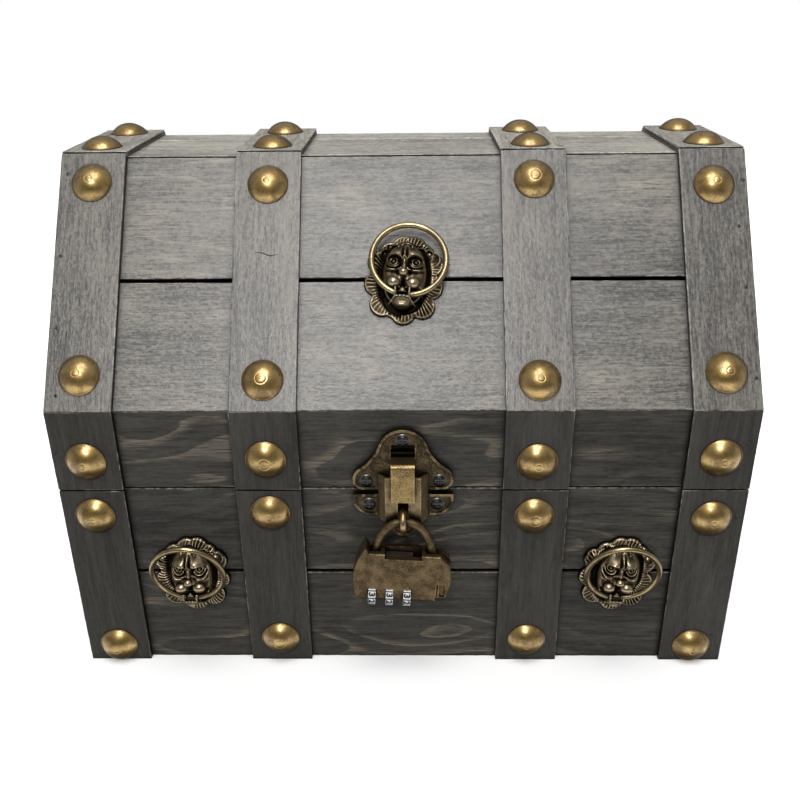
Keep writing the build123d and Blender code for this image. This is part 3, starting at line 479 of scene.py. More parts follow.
def join_parts(parts):
    """One form (points, faces, point attributes) out of several."""
    points, faces, fields, start = [], [], {}, 0
    for part_points, part_faces, part_fields in parts:
        points.append(part_points)
        faces.extend([tuple(int(i) + start for i in face) for face in part_faces])
        for key, values in part_fields.items():
            fields.setdefault(key, []).append(values)
        start += len(part_points)
    return np.concatenate(points), faces, {key: np.concatenate(values) for key, values in fields.items()}


def laid(place, right, up, points):
    """Points given by how far right, up and out they lie, set at a place; out is at right angles to the other two."""
    return place + points[..., :1] * right + points[..., 1:2] * up + points[..., 2:] * np.cross(right, up)


def spun(radius, turn, height):
    """Points at a radius, an angle and a height over a plane."""
    return np.stack((radius * np.cos(turn), radius * np.sin(turn), height), -1)


def full_turn(count):
    """Angles once round, evenly spaced, without the first one again."""
    return np.linspace(0, 2 * np.pi, count, endpoint=False)


def bell(gap, width):
    """e to the minus squared distance, counted in widths."""
    return np.exp(-((gap / width) ** 2))


# ---------------- the chest's section
def kink_point(inset):
    """The corner between wall and slope, of a section that lies an inset further in than the straps' faces."""
    return (inset - HALF_DEPTH, KINK - inset * (1 - SLOPE_SIN) / SLOPE_COS)


def top_point(inset):
    """The corner between slope and top, at the same inset."""
    run = (inset + (HEIGHT - KINK - inset) * SLOPE_COS) / SLOPE_SIN
    return (run - HALF_DEPTH, HEIGHT - inset)


def slope_point(along, inset):
    """A point of the front slope: so far up along it, and so far in from the straps' faces."""
    return (along * SLOPE_COS + inset * SLOPE_SIN - HALF_DEPTH, KINK + along * SLOPE_SIN - inset * SLOPE_COS)


def slope_end(inset):
    """How far up the slope the boards reach, a corner gap short of the top's corner."""
    y, z = top_point(inset)
    return (y + HALF_DEPTH) * SLOPE_COS + (z - KINK) * SLOPE_SIN - CORNER_GAP


def behind(section):
    """The same corners on the back half."""
    return [(-y, z) for y, z in section]


def both_sides(section):
    return (("front", section), ("back", behind(section)))


# ---------------- boards and straps
# Distances from a block's end to its first rows of points, counted in edge radii
NEAR_EDGE = np.array([0.0, 0.22, 0.5, 0.8, 1.15, 1.8, 3.0])
LONG_WEAR = 16.0
SHORT_WEAR = 3.4
FACE_DIP = 0.06


def stations(length, edge, spacing):
    """Places along one side of a block: close together over the rounded edges, even between them."""
    near = NEAR_EDGE * edge
    count = max(2, int(round((length - 2 * near[-1]) / spacing)))
    middle = np.linspace(near[-1], length - near[-1], count + 1)[1:-1]
    return np.concatenate((near, middle, length - near[::-1]))


def box_skin(size, edge, spacing):
    """The six sides of a plain box as grids of points and quads facing outwards; the corners come out twice."""
    seams = [stations(size[0], edge, spacing), stations(size[1], edge, spacing), stations(size[2], edge, 4.0)]
    clouds, faces, start = [], [], 0
    for axis in range(3):
        i, j = (axis + 1) % 3, (axis + 2) % 3
        a, b = np.meshgrid(seams[i], seams[j], indexing="ij")
        for side in (0, 1):
            cloud = np.zeros(a.shape + (3,))
            cloud[..., i], cloud[..., j], cloud[..., axis] = a, b, side * size[axis]
            quads = grid_faces(len(seams[i]), len(seams[j]), start=start)
            clouds.append(cloud.reshape(-1, 3))
            faces.append(quads[:, ::-1] if side else quads)
            start += a.size
    return np.concatenate(clouds), np.concatenate(faces)


def wood_block(start, width, section, run, grain_on_run, seed, spacing=2.5, edge=EDGE, rough=0.5):
    """A sawn block: a plain box (across x, along the run, in depth) whose edges are rounded by a radius that swells and
    shrinks by ripples and whose outer face dips a little, then laid between the section's corners, so that mitred ends
    follow. section: outer start, inner start, inner end, outer end, as (y, z)."""
    outer_start, inner_start, inner_end, outer_end = (np.array(p, float) for p in section)
    depth = np.linalg.norm(inner_start - outer_start)
    size = np.array([width, run, min(depth, BACK)])
    box, quads = box_skin(size, edge, spacing)
    wear = ripple(box + seed * 37.0, LONG_WEAR, seed) * 0.35 + ripple(box + seed * 11.0, SHORT_WEAR, seed + 1) * 0.35
    radius = (edge * np.clip(0.72 + rough * wear, 0.28, 1.0))[:, None]
    kernel = np.clip(box, radius, size - radius)
    away = box - kernel
    length = np.linalg.norm(away, axis=1, keepdims=True)
    rounded = kernel + radius * away / np.maximum(length, 1e-9)
    reach = np.sort(np.minimum(box, size - box), axis=1)[:, 1]
    edge_wear = np.exp(-reach / (0.95 * edge))
    dip = FACE_DIP * (1 + ripple(box + seed * 5.0, 24.0, seed + 2)) / 2
    rounded[:, 2] -= np.where(rounded[:, 2] > size[2] - 0.01, dip, 0.0)
    share = rounded / size
    b, c = share[:, 1:2], share[:, 2:3]
    flat = (1 - b) * ((1 - c) * inner_start + c * outer_start) + b * ((1 - c) * inner_end + c * outer_end)
    points = np.column_stack((start + rounded[:, 0], flat))
    _, first, inverse = np.unique(np.round(points, 4), axis=0, return_index=True, return_inverse=True)
    quads = np.ravel(inverse)[quads]
    outward = np.cross([1.0, 0, 0], [0.0, *(outer_end - outer_start)])
    if outward @ np.array([0.0, *(outer_start - inner_start)]) > 0:
        quads = quads[:, ::-1]
    along, across = (rounded[:, 1], rounded[:, 0]) if grain_on_run else (rounded[:, 0], rounded[:, 1])
    grain = np.column_stack((along, across, rounded[:, 2])) * MM + np.array([seed * 0.73, seed * 0.31, seed * 0.17])
    return points[first], quads, {"edge_wear": edge_wear[first], "grain_place": grain[first]}


def make_board(name, body, slot, material, node, section, seed):
    """One plank over the chest's whole width."""
    run = math.dist(section[0], section[3])
    block = wood_block(-HALF_WIDTH, 2 * HALF_WIDTH, section, run, False, seed)
    add_piece(name, join_parts([block]), body, slot, material, node)


def make_straps(name, body, material, node, section, seed):
    """Four strap pieces of one face of the chest, grain along their run."""
    run = math.dist(section[0], section[3])
    parts = [
        wood_block(middle - STRAP_WIDTH / 2, STRAP_WIDTH, section, run, True, seed + 3 * index, 2.0, 0.55, 0.7)
        for index, middle in enumerate(STRAP_MIDDLES)
    ]
    add_piece(name, join_parts(parts), body, "strap_wood", material, node)


def plank_sections():
    """The front planks' corners, as the construction has them, each with the body that carries it."""
    inner_y = BACK - HALF_DEPTH
    above, slope_above = BASE_JOINT + PLANK_GAP, SLOPE_JOINT + PLANK_GAP
    slope_low = [kink_point(FACE), kink_point(BACK), slope_point(SLOPE_JOINT, BACK), slope_point(SLOPE_JOINT, FACE)]
    slope_high = [
        slope_point(slope_above, FACE), slope_point(slope_above, BACK),
        slope_point(slope_end(BACK), BACK), slope_point(slope_end(FACE), FACE),
    ]
    return {
        "lower_plank": ("base", [(WOOD_Y, 0), (inner_y, 0), (inner_y, BASE_JOINT), (WOOD_Y, BASE_JOINT)]),
        "upper_plank": ("base", [(WOOD_Y, above), (inner_y, above), (inner_y, SEAM_LOW), (WOOD_Y, SEAM_LOW)]),
        "rail": ("lid", [(WOOD_Y, SEAM_HIGH), (inner_y, SEAM_HIGH), kink_point(BACK), kink_point(FACE)]),
        "slope_lower_plank": ("lid", slope_low),
        "slope_upper_plank": ("lid", slope_high),
    }


def strap_sections():
    """The front straps' corners on base, rail and slope."""
    return {
        "base": [(-HALF_DEPTH, 0), (WOOD_Y, 0), (WOOD_Y, SEAM_LOW), (-HALF_DEPTH, SEAM_LOW)],
        "rail": [(-HALF_DEPTH, SEAM_HIGH), (WOOD_Y, SEAM_HIGH), kink_point(FACE), kink_point(0)],
        "slope": [kink_point(0), kink_point(FACE), slope_point(slope_end(FACE), FACE), slope_point(slope_end(0), 0)],
    }


def make_woodwork(woods):
    """Planks, then the top's two planks, then the straps, front and back from the same sections."""
    seed = 11
    for part, (body, section) in plank_sections().items():
        kind = "slope" if "slope" in part else "wall"
        for side, corners in both_sides(section):
            make_board(f"{side}_{part}", body, f"{kind}_wood", woods[kind], f"{body}_{side}_{part}", corners, seed)
            seed += 1
    inner, outer = HEIGHT - BACK, HEIGHT - FACE
    after = TOP_JOINT + PLANK_GAP
    top = {
        "front": [top_point(FACE), top_point(BACK), (TOP_JOINT, inner), (TOP_JOINT, outer)],
        "back": [(after, outer), (after, inner), *behind([top_point(BACK), top_point(FACE)])],
    }
    for side, section in top.items():
        make_board(f"top_{side}_plank", "lid", "slope_wood", woods["top"], f"lid_top_{side}_plank", section, seed)
        seed += 1
    for part, section in strap_sections().items():
        body = "base" if part == "base" else "lid"
        wood = woods["slope_strap"] if part == "slope" else woods["wall_strap"]
        for side, corners in both_sides(section):
            node = f"base_{side}_straps" if part == "base" else f"lid_{side}_{part}_straps"
            make_straps(f"{side}_{part}_straps", body, wood, node, corners, seed)
            seed += 14
    ends = [top_point(0), top_point(FACE), *behind([top_point(FACE), top_point(0)])]
    make_straps("top_straps", "lid", woods["top_strap"], "lid_top_straps", ends, seed)


# ---------------- domed nails
X_WAY, Y_WAY, Z_WAY = np.eye(3)
# Each nail's share of its strap piece's run, from the left strap to the right
BASE_NAILS = ((0.095, 0.137, 0.128, 0.095), (0.862, 0.877, 0.860, 0.844))
RAIL_NAILS = (0.379, 0.400, 0.363, 0.413)
SLOPE_NAILS = ((0.135, 0.115, 0.111, 0.136), (0.874, 0.862, 0.876, 0.850))
TOP_NAILS = (0.18, 0.82)
# A nail's rolled rim: shares of the radius and heights over the strap
RIM_SHARES = (0.955, 0.975, 0.99, 1.0, 0.992, 0.9, 0.3)
RIM_HEIGHTS = (0.62, 0.52, 0.42, 0.26, 0.05, 0.0, 0.0)


def wall_seat(x, z):
    """A place on the straps' upright faces, with its right-hand and its upward direction."""
    return np.array([x, -HALF_DEPTH, z]), X_WAY, Z_WAY


def slope_seat(x, along):
    """The same on the straps' front slope."""
    y, z = slope_point(along, 0)
    return np.array([x, y, z]), X_WAY, np.array([0, SLOPE_COS, SLOPE_SIN])


def nail_seats():
    """Each nail's place, its right-hand and its upward direction, on the straps' outer faces."""
    groups = {"base": [], "rail": [], "slope": [], "top": []}
    for index, middle in enumerate(STRAP_MIDDLES):
        groups["base"] += [wall_seat(middle, shares[index] * SEAM) for shares in BASE_NAILS]
        groups["rail"].append(wall_seat(middle, SEAM + RAIL_NAILS[index] * (KINK - SEAM)))
        groups["slope"] += [slope_seat(middle, shares[index] * SLOPE_LENGTH) for shares in SLOPE_NAILS]
        for share in TOP_NAILS:
            groups["top"].append((np.array([middle, (2 * share - 1) * HALF_TOP, HEIGHT]), X_WAY, Y_WAY))
    return groups


def dome(seat, right, up, seed):
    """A pressed nail head: an arc turned about its axis, with a faint ring in its crown and a thin rolled rim, flat
    underneath, and a little uneven, as hand-pressed heads are."""
    arc = (DOME_RADIUS**2 + DOME_HEIGHT**2) / (2 * DOME_HEIGHT)
    share = np.concatenate((np.linspace(0.02, 0.36, 16), np.linspace(0.38, 0.93, 14), RIM_SHARES))
    crown = len(share) - len(RIM_SHARES)
    radius = share * DOME_RADIUS * 0.995
    rise = DOME_HEIGHT - (arc - np.sqrt(arc**2 - radius**2))
    rise[crown:] = RIM_HEIGHTS
    mark = 1.4 + 0.9 * (seed % 3 == 0)
    rise = rise - 0.10 * bell(radius - mark, 0.28)
    turn = full_turn(56)
    r, t = np.meshgrid(radius, turn, indexing="ij")
    w = np.repeat(rise[:, None], len(turn), 1)
    swell = ripple(spun(r, t, w).reshape(-1, 3), 7.0, seed).reshape(r.shape)
    w = np.where(np.arange(len(radius))[:, None] < crown, w * (0.985 + 0.012 * swell), w)
    r = r * (0.992 + 0.006 * np.sin(2 * t + seed) + 0.002 * np.sin(5 * t))
    points = laid(seat, right, up, spun(r, t, w))
    return points.reshape(-1, 3), tube_faces(*r.shape, True), {"rise": (w / DOME_HEIGHT).ravel()}


def make_nails(material):
    """All nails of one face of the chest are one piece; the back's are the front's mirrored."""
    seed = 300
    for part, seats in nail_seats().items():
        for side in ("top",) if part == "top" else ("front", "back"):
            parts = []
            for seat, right, up in seats:
                seed += 1
                if side == "back":
                    seat, right, up = seat * (1, -1, 1), -right, up * (1, -1, 1)
                parts.append(dome(seat, right, up, seed))
            name = "top_nails" if part == "top" else f"{side}_{part}_nails"
            body = "base" if part == "base" else "lid"
            node = f"base_{side}_nails" if part == "base" else f"lid_{name}"
            add_piece(name, join_parts(parts), body, "antique_brass", material, node)


# ---------------- small things on the straps and the hasp
SLOPE_BRADS = (
    (-146.4, 106.4), (-147.0, 68.6), (-146.5, 36.5), (-144.9, 7.1), (148.3, 101.2), (145.1, 80.2), (146.2, 53.0),
    (147.6, 13.7),
)
RAIL_BRADS = ((-148.4, 112.8), (146.2, 116.4))
BASE_BRADS = ((146.7, 80.2), (144.9, 15.5))
PLATE_FACE = 98.0 + 2.2
# The crack's middle line: across x and up along the slope
CRACK_LINE = ((-62.2, 69.7), (-60.6, 69.75), (-59.2, 69.3), (-57.6, 68.5), (-56.2, 68.15), (-54.4, 68.5), (-52.2, 68.8))
CRACK_HALF = 0.26


def brad(seat, right, up):
    """A pin head: a low dome of two rings and a flat middle, closed underneath."""
    radius, rise = np.array(((0.75, -0.2), (0.75, 0.05), (0.45, 0.17))).T
    r, t = np.meshgrid(radius, full_turn(14), indexing="ij")
    points = laid(seat, right, up, spun(r, t, np.repeat(rise[:, None], 14, 1)))
    return points.reshape(-1, 3), tube_faces(*r.shape), {}


def make_brads(material):
    """The small pins that hold the outer straps."""
    lid_seats = [slope_seat(*spot) for spot in SLOPE_BRADS] + [wall_seat(*spot) for spot in RAIL_BRADS]
    base_seats = [wall_seat(*spot) for spot in BASE_BRADS]
    for body, seats in (("lid", lid_seats), ("base", base_seats)):
        add_piece(f"{body}_brads", join_parts([brad(*seat) for seat in seats]), body, "screw_steel", material)


def make_hasp_slot(material):
    """Painted shadow over the tongue's knuckle: a thin near-black block let into the lid plate's face where the slot's
    shade falls.
    """
    x, y, z = np.meshgrid((-4.3, 5.7), (-PLATE_FACE - 0.06, -PLATE_FACE + 0.3), (114.1, 116.0), indexing="ij")
    points = np.stack((x, y, z), -1).reshape(-1, 3)
    faces = [(0, 1, 3, 2), (4, 6, 7, 5), (0, 4, 5, 1), (2, 3, 7, 6), (0, 2, 6, 4), (1, 5, 7, 3)]
    add_piece("painted_hasp_shadow", (points, faces), "lid", "antique_brass", material)


def make_crack(material):
    """A short crack in the second strap: a near-black pointed ribbon let into the wood, painted shade for the crack's
    depth, its upper face just above it.
    """
    x, along = np.array(CRACK_LINE).T
    count = len(x)
    half = CRACK_HALF * np.sin(np.linspace(0.05, np.pi - 0.05, count))
    rows = [np.stack((x, *slope_point(along + side * half, depth)), -1)
            for side, depth in ((-1, 0.3), (-1, -0.05), (1, -0.05), (1, 0.3))]
    faces = [tuple(quad) for quad in grid_faces(4, count)]
    faces += [(3 * count + i, 3 * count + i + 1, i + 1, i) for i in range(count - 1)]
    faces += [(0, count, 2 * count, 3 * count), tuple(count * k - 1 for k in (4, 3, 2, 1))]
    add_piece("strap_crack", (np.concatenate(rows), faces), "lid", "strap_wood", material)


# ---------------- lion masks
# The mane's lobes: circles given by their middle and radius
LOBES = (
    (0.7, -14.6, 5.4), (8.8, -11.5, 5.5), (11.9, -2.8, 5.3), (11.0, 7.6, 5.7), (7.6, 11.6, 5.0), (3.6, 14.4, 5.4),
    (-0.8, 14.6, 5.0), (-6.6, 11.7, 4.7), (-10.4, 7.2, 5.7), (-11.6, -2.6, 5.3), (-8.4, -11.4, 5.5),
)
# Locks of hair over the forehead: arcs given by their middle, radius, first and last angle
LOCKS = (
    (-5.0, 13.0, 2.0, 5, 160), (0.6, 13.2, 2.4, 0, 150), (6.3, 11.6, 2.6, 30, 125), (-7.8, 10.2, 2.8, 80, 185),
    (10.0, 11.2, 2.2, 20, 120),
)
# Each eye's side and middle; the arcs round it: height, lift over its middle, radius, thickness, first and last angle:
# lower lid, iris ring, rim of the pupil, and two bags below
EYES = ((-1, -4.6, 6.3), (1, 4.9, 6.2))
EYE_ARCS = (
    (1.15, -0.1, 2.5, 0.38, -172, -8), (0.6, 0, 1.5, 0.32, -180, 180), (-0.5, 0, 0.98, 0.25, -180, 180),
    (-0.8, 0.2, 3.6, 0.45, -150, -30), (1.7, 0.6, 4.85, 0.6, -130, -50),
)
LIP_LINE = ((-3.1, -9.9, 9.45), (-1.6, -9.6, 9.5), (0.0, -9.5, 9.5), (1.6, -9.6, 9.5), (3.1, -9.9, 9.45))
MASK_HALF = (14.6, 18.1)
MOUTH_DROP = 8.4
MOUTH_RISE = 7.5
RING_RADIUS = 15.9
RING_WIRE = 1.3
RING_HALF_GAP = 2.3
# How far each ring is turned to one side and leans out from its mask, in degrees
RING_SEATS = {"lid": (-6.4, -4.0), "left": (-3.4, 13.0), "right": (2.0, 13.0)}


def hill(u, v, centre, size):
    """A bell-shaped rise over a plane: e to the minus squared distance, counted in one size across and one up."""
    du, dv = u - centre[0], v - centre[1]
    return np.exp(-((du / size[0]) ** 2) - (dv / size[1]) ** 2)


def arc_ridge(u, v, centre, radius, thick, start, end):
    """A raised line along a circle's arc between two angles in degrees, fading at its ends."""
    du, dv = u - centre[0], v - centre[1]
    gap = np.hypot(du, dv) - radius
    angle = np.degrees(np.arctan2(dv, du))
    middle, half = (start + end) / 2, (end - start) / 2
    off = np.abs((angle - middle + 180) % 360 - 180)
    return bell(gap, thick) / (1 + np.exp((off - half) / 5.0))


def face_distance(u, v):
    """1 on the oval round the face, less inside it, more outside."""
    return np.sqrt(((u - 0.3) / 10.2) ** 2 + ((v - 1.2) / 15.4) ** 2)


def mane_reach(turn):
    """How far the mane's outline lies from the middle: the farthest of the lobes' circles and the ellipse behind."""
    ray = np.column_stack((np.cos(turn), np.sin(turn)))
    reach = 1 / np.sqrt((ray[:, 0] / MASK_HALF[0]) ** 2 + (ray[:, 1] / MASK_HALF[1]) ** 2)
    for x, y, radius in LOBES:
        along = ray[:, 0] * x + ray[:, 1] * y
        side = radius**2 - (x * x + y * y - along**2)
        reach = np.maximum(reach, np.where(side > 0, along + np.sqrt(np.maximum(side, 0)), 0))
    return reach


def mane_rise(u, v, share):
    """The mane: the highest of the lobes' low shells, each with thin wavy strands that fan from its root and lean over
    in the upper half, and a fine bead along the outline, where the rim falls to a thin edge."""
    mane = np.zeros_like(u)
    for index, (x, y, radius) in enumerate(LOBES):
        way = math.atan2(y, x)
        distance = np.hypot(u - x, v - y) / (radius * 1.15)
        root_u, root_v = x - 9.5 * math.cos(way), y - 9.5 * math.sin(way)
        fan = np.arctan2(v - root_v, u - root_u) - way
        fan = (fan + np.pi) % (2 * np.pi) - np.pi
        out = np.hypot(u - root_u, v - root_v)
        lean = 0.55 if y > 4 else 0.14 * (1 if index % 2 else -1)
        wave = 0.8 * np.sin(0.45 * out + 2.1 * index) + 0.5 * np.sin(7.0 * fan + index)
        strands = bell(np.sin(fan * 25.0 + lean * out + wave + index), 0.5)
        fade = 0.55 + 0.45 * np.sin(3.0 * fan + 1.7 * index)
        shell = 1.2 * np.sqrt(np.clip(1 - distance**2, 0, 1))
        mane = np.maximum(mane, shell + 0.8 * fade * strands * np.clip(1 - distance**6, 0, 1))
    rim = np.clip((1 - share) / 0.06, 0, 1) ** 0.5
    return 0.9 + (0.1 + mane) * rim + 0.22 * bell(share - 0.965, 0.013)


def eye_rise(u, v, side, x, y):
    """One eye and what lies round it, over the face's dome: a brow with a beaded shelf, socket, lower lid, iris ring,
    pupil, two bags, cheek bone, and the branch of the forked crease."""
    edge = y + 2.35 - 0.11 * (u - x) ** 2
    brow = np.exp(-(((u - x) / 3.5) ** 4)) * bell(np.clip(v - edge, 0, None), 2.6) / (1 + np.exp(-(v - edge) / 0.16))
    rise = 1.5 * brow + 0.7 * bell(v - edge - 0.25, 0.4) * np.exp(-(((u - x) / 3.3) ** 4))
    rise = rise - 1.0 * hill(u, v, (x, 7.9), (2.6, 0.8)) - 1.3 * hill(u, v, (x, 5.9), (3.0, 2.2))
    for height, lift, *arc in EYE_ARCS:
        rise = rise + height * arc_ridge(u, v, (x, y + lift), *arc)
    rise = rise + 1.3 * hill(u, v, (x, y), (0.65, 0.65)) + 0.9 * hill(u, v, (x * 1.42, 1.0), (1.7, 2.0))
    rise = rise - 1.5 * hill(u, v, (x * 0.52, 1.9), (0.9, 1.5)) - 1.0 * hill(u, v, (x * 0.45, 6.0), (0.7, 1.6))
    return rise + 0.9 * bell(u - side * (0.15 + 0.52 * (8.6 - v)), 0.34) * hill(u, v, (side * 0.6, 7.6), (1.3, 1.0))


def face_rise(u, v):
    """The face: a long dome with brow band, eyes, nose ridge, an upright crease between two grooves, and a hollow under
    the nose. Also how far inside the dome each point is."""
    dome_share = 1 - ((u - 0.3) / 9.4) ** 2 - ((v - 1.2) / 14.6) ** 2
    face = 7.5 * np.clip(dome_share, 0, 1) ** 0.26 + 1.6 * hill(u, v, (0, 9.6), (8.5, 2.6)) * (dome_share > 0)
    for eye in EYES:
        face = face + eye_rise(u, v, *eye)
    face = face + 1.7 * hill(u, v, (0, 3.9), (0.85, 2.9)) + 1.25 * hill(u, v, (0, 10.2), (0.36, 1.8))
    for groove in (1.0, -1.0):
        face = face - 0.7 * hill(u, v, (groove, 9.8), (0.5, 2.2))
    return face - 2.2 * hill(u, v, (0, -3.2), (0.9, 2.4)), dome_share


def mask_rise(u, v, reach_share):
    """The mask's height over its back: the higher of mane and face, with locks, ears, a hollow round the face and under
    the jaw, and the open mouth; never higher than the swinging ring allows."""
    mane = mane_rise(u, v, reach_share)
    for side, start, end in ((-1, 100, 240), (1, -60, 80)):
        mane = mane + 1.3 * hill(u, v, (side * 11.8, 10.4), (1.2, 1.4))
        mane = mane + 0.8 * arc_ridge(u, v, (side * 12.0, 9.4), 3.0, 0.35, start, end)
    face, dome_share = face_rise(u, v)
    moat = bell(face_distance(u, v) - 1.04, np.where(u < 0, 0.13, 0.07))
    mane = mane - np.where(u < 0, 1.7, 1.0) * moat * (v < 15)
    mane = mane - 2.0 * np.clip(1 - ((u - 0.2) / 8.4) ** 2 - ((v + 10.2) / 5.6) ** 2, 0, 1) ** 0.5
    height = np.where(dome_share > 0, np.maximum(face, mane), mane)
    for x, y, radius, start, end in LOCKS:
        height = height + 0.85 * arc_ridge(u, v, (x, y), radius, 0.32, start, end)
        height = height - 0.5 * arc_ridge(u, v, (x, y), radius - 0.8, 0.4, start, end)
    room = 2.85 + 0.223 * np.abs(u)
    inside = np.clip(room**2 - (v + MOUTH_DROP) ** 2, 0, None)
    height = np.minimum(height, np.where(inside > 0, 7.4 - np.sqrt(inside), 99.0))
    swing = np.abs(np.hypot(u, v + MOUTH_DROP - RING_RADIUS) - RING_RADIUS)
    limit = 5.5 - 0.139 * (v + MOUTH_DROP) + 9.0 * np.clip(swing - 1.7, 0, 9)
    return np.clip(np.minimum(height, limit), 0.35, None)


def ball(centre, sizes, rows=22, columns=32):
    """An egg form: latitude and longitude on a sphere, stretched to three half sizes."""
    lat, lon = np.meshgrid(np.linspace(0.05 - np.pi / 2, np.pi / 2 - 0.05, rows), full_turn(columns), indexing="ij")
    way = np.stack((np.cos(lat) * np.cos(lon), np.cos(lat) * np.sin(lon), np.sin(lat)), -1).reshape(-1, 3)
    relief = 0.32 * np.clip(np.sin(lat), -0.6, 1)
    return way * sizes + np.array(centre), tube_faces(rows, columns), {"relief": relief.ravel()}


def bar(start, end, thick_start, thick_end, rows=9, columns=12):
    """A tapered tooth: a circle carried along a straight line, its radius going evenly from one end to the other."""
    start, end = np.array(start, float), np.array(end, float)
    way = (end - start) / np.linalg.norm(end - start)
    right = np.cross(way, Z_WAY)
    right /= np.linalg.norm(right)
    out = np.cross(right, way)
    share, turn = np.meshgrid(np.linspace(0, 1, rows), full_turn(columns), indexing="ij")
    share, turn = share[..., None], turn[..., None]
    radius = thick_start + (thick_end - thick_start) * share
    points = start + share * (end - start) + radius * (np.cos(turn) * right + np.sin(turn) * out)
    return points.reshape(-1, 3), tube_faces(rows, columns, True), {"relief": np.full(rows * columns, 0.25)}


def chin_form():
    """The lower jaw: an egg cut off behind the ring, its front a dark shallow dish in a bright bead. What lies near the
    ring's wire is pushed clear of it, the more the further the ring curves away from its hinge line."""
    points, faces, _ = ball((0, 0, 0), (4.1, 3.9, 4.4), 70, 72)
    u, v, w = points.T
    v = np.minimum(v, 0.65)
    oval = np.hypot(u / 2.9, (v + 0.95) / 1.5)
    front = w > 1.2
    plate = 3.70 + 0.24 * (v + 2.1) - 0.5 * np.clip(1 - oval, 0, 1)
    bead = 0.34 * bell(oval - 1.1, 0.16) * (v < 0.2)
    w = np.where(front, np.minimum(w, plate + 6.0 * np.clip(oval - 1.25, 0, 3)) + bead, w)
    dv, dw = v - 2.0, w - 2.9
    push = np.maximum(1.0, (1.75 + 0.045 * u**2) / np.maximum(np.hypot(dv, dw), 0.2))
    v, w = 2.0 + dv * push, 2.9 + dw * push
    relief = np.where(front & (oval < 1.02), 0.08, 0.05 - 0.10 * np.clip(-v - 2.6, 0, 1.5)) + 1.0 * bead
    return np.column_stack((u + 0.1, v - 10.4, w + 4.6)), faces, {"relief": relief}


def incisor_plate():
    """The three-cornered front teeth: a thin wedge, its corners given directly."""
    low = np.array([(-1.8, -7.6, 8.3), (1.8, -7.6, 8.3), (0.0, -5.2, 8.3)])
    high = np.array([(-1.6, -7.5, 8.8), (1.6, -7.5, 8.8), (0.0, -5.4, 8.8)])
    faces = [(0, 2, 1), (3, 4, 5), (0, 1, 4, 3), (1, 2, 5, 4), (2, 0, 3, 5)]
    return np.concatenate((low, high)), faces, {"relief": np.repeat((-0.2, 0.10), 3)}


def mouth_parts():
    """Cheeks, nose, chin, front teeth, the lip, and on each side a fang and a strut from the lip to the jaw."""
    parts = [
        ball((-4.0, -3.25, 7.3), (2.9, 2.45, 2.65)),
        ball((4.1, -3.3, 7.0), (3.1, 2.6, 2.65)),
        ball((-0.1, 0.8, 9.1), (2.0, 1.8, 2.1)),
        chin_form(),
        incisor_plate(),
    ]
    parts += [bar(start, end, 0.38, 0.38, 3) for start, end in zip(LIP_LINE[:-1], LIP_LINE[1:])]
    for side in (-1, 1):
        parts.append(bar((side * 3.0, -5.8, 9.3), (side * 3.0, -7.6, 10.1), 0.55, 0.42, 5))
        parts.append(bar((side * 3.0, -7.6, 10.1), (side * 3.05, -9.9, 9.55), 0.42, 0.38, 5))
        parts.append(bar((side * 3.1, -10.0, 9.5), (side * 3.9, -11.05, 8.4), 0.34, 0.30, 4))
        parts.append(bar((side * 3.9, -11.05, 8.4), (side * 5.9, -12.7, 4.8), 0.30, 0.28, 4))
    return parts


def lion_form():
    """The whole mask about its own middle: u to the right, v up, w out; a disc lifted to the mask's height. Relief is a
    point's height over the mean of two small circles round it, less under the jaw as painted shadow, and less round
    the face."""
    rings, spokes = 120, 560
    turn = full_turn(spokes)
    reach = mane_reach(turn)
    share = np.concatenate((np.linspace(0.012, 0.94, rings - 12), np.linspace(0.947, 1.0, 12)))
    s, t = np.meshgrid(share, turn, indexing="ij")
    u, v = s * reach * np.cos(t), s * reach * np.sin(t)
    w = mask_rise(u, v, s)
    around = np.zeros_like(w)
    for distance in (0.45, 1.0):
        for angle in full_turn(8):
            nu, nv = u + distance * math.cos(angle), v + distance * math.sin(angle)
            near = np.interp(np.arctan2(nv, nu) % (2 * np.pi), turn, reach, period=2 * np.pi)
            around += mask_rise(nu, nv, np.clip(np.hypot(nu, nv) / near, 0, 1))
    # painted shadow under the jaw: the relief, and so the brass's tone, is lowered there
    below = np.clip(1 - ((u - 0.2) / 8.6) ** 2 - ((v + 9.6) / 6.2) ** 2, 0, 1)
    beside = bell(face_distance(u, v) - 1.02, np.where(u < 0, 0.12, 0.06)) * (v < 13)
    relief = w - around / 16 - 0.5 * np.sqrt(below) - 0.22 * beside
    under = [spun(k * reach, turn, 0 * turn) for k in (1.0, 0.6, 0.02)]
    points = np.concatenate((np.stack((u, v, w), -1), under))
    relief = np.concatenate((relief, np.full((len(under), spokes), -0.2)))
    mask = (points.reshape(-1, 3), tube_faces(len(points), spokes, True), {"relief": relief.ravel()})
    return join_parts([mask, *mouth_parts()])


def ring_form():
    """A pull ring: a circle of wire carried round a larger one, open where its rounded ends go into the lion's jaw."""
    gap = math.asin(RING_HALF_GAP / RING_RADIUS)
    run = np.linspace(gap, 2 * np.pi - gap, 180)
    around = np.concatenate(([run[0]] * 4, run[1:-1], [run[-1]] * 4)) - np.pi / 2
    thick = np.ones(len(around))
    thick[:3] = (0.05, 0.75, 0.93)
    thick[-3:] = thick[2::-1]
    turn = full_turn(20)
    a, t = np.meshgrid(around, turn, indexing="ij")
    wire_radius = RING_WIRE * thick[:, None]
    reach = RING_RADIUS + wire_radius * np.cos(t)
    points = np.stack((reach * np.cos(a), RING_RADIUS + reach * np.sin(a), wire_radius * np.sin(t)), -1)
    return points.reshape(-1, 3), tube_faces(*a.shape, True)


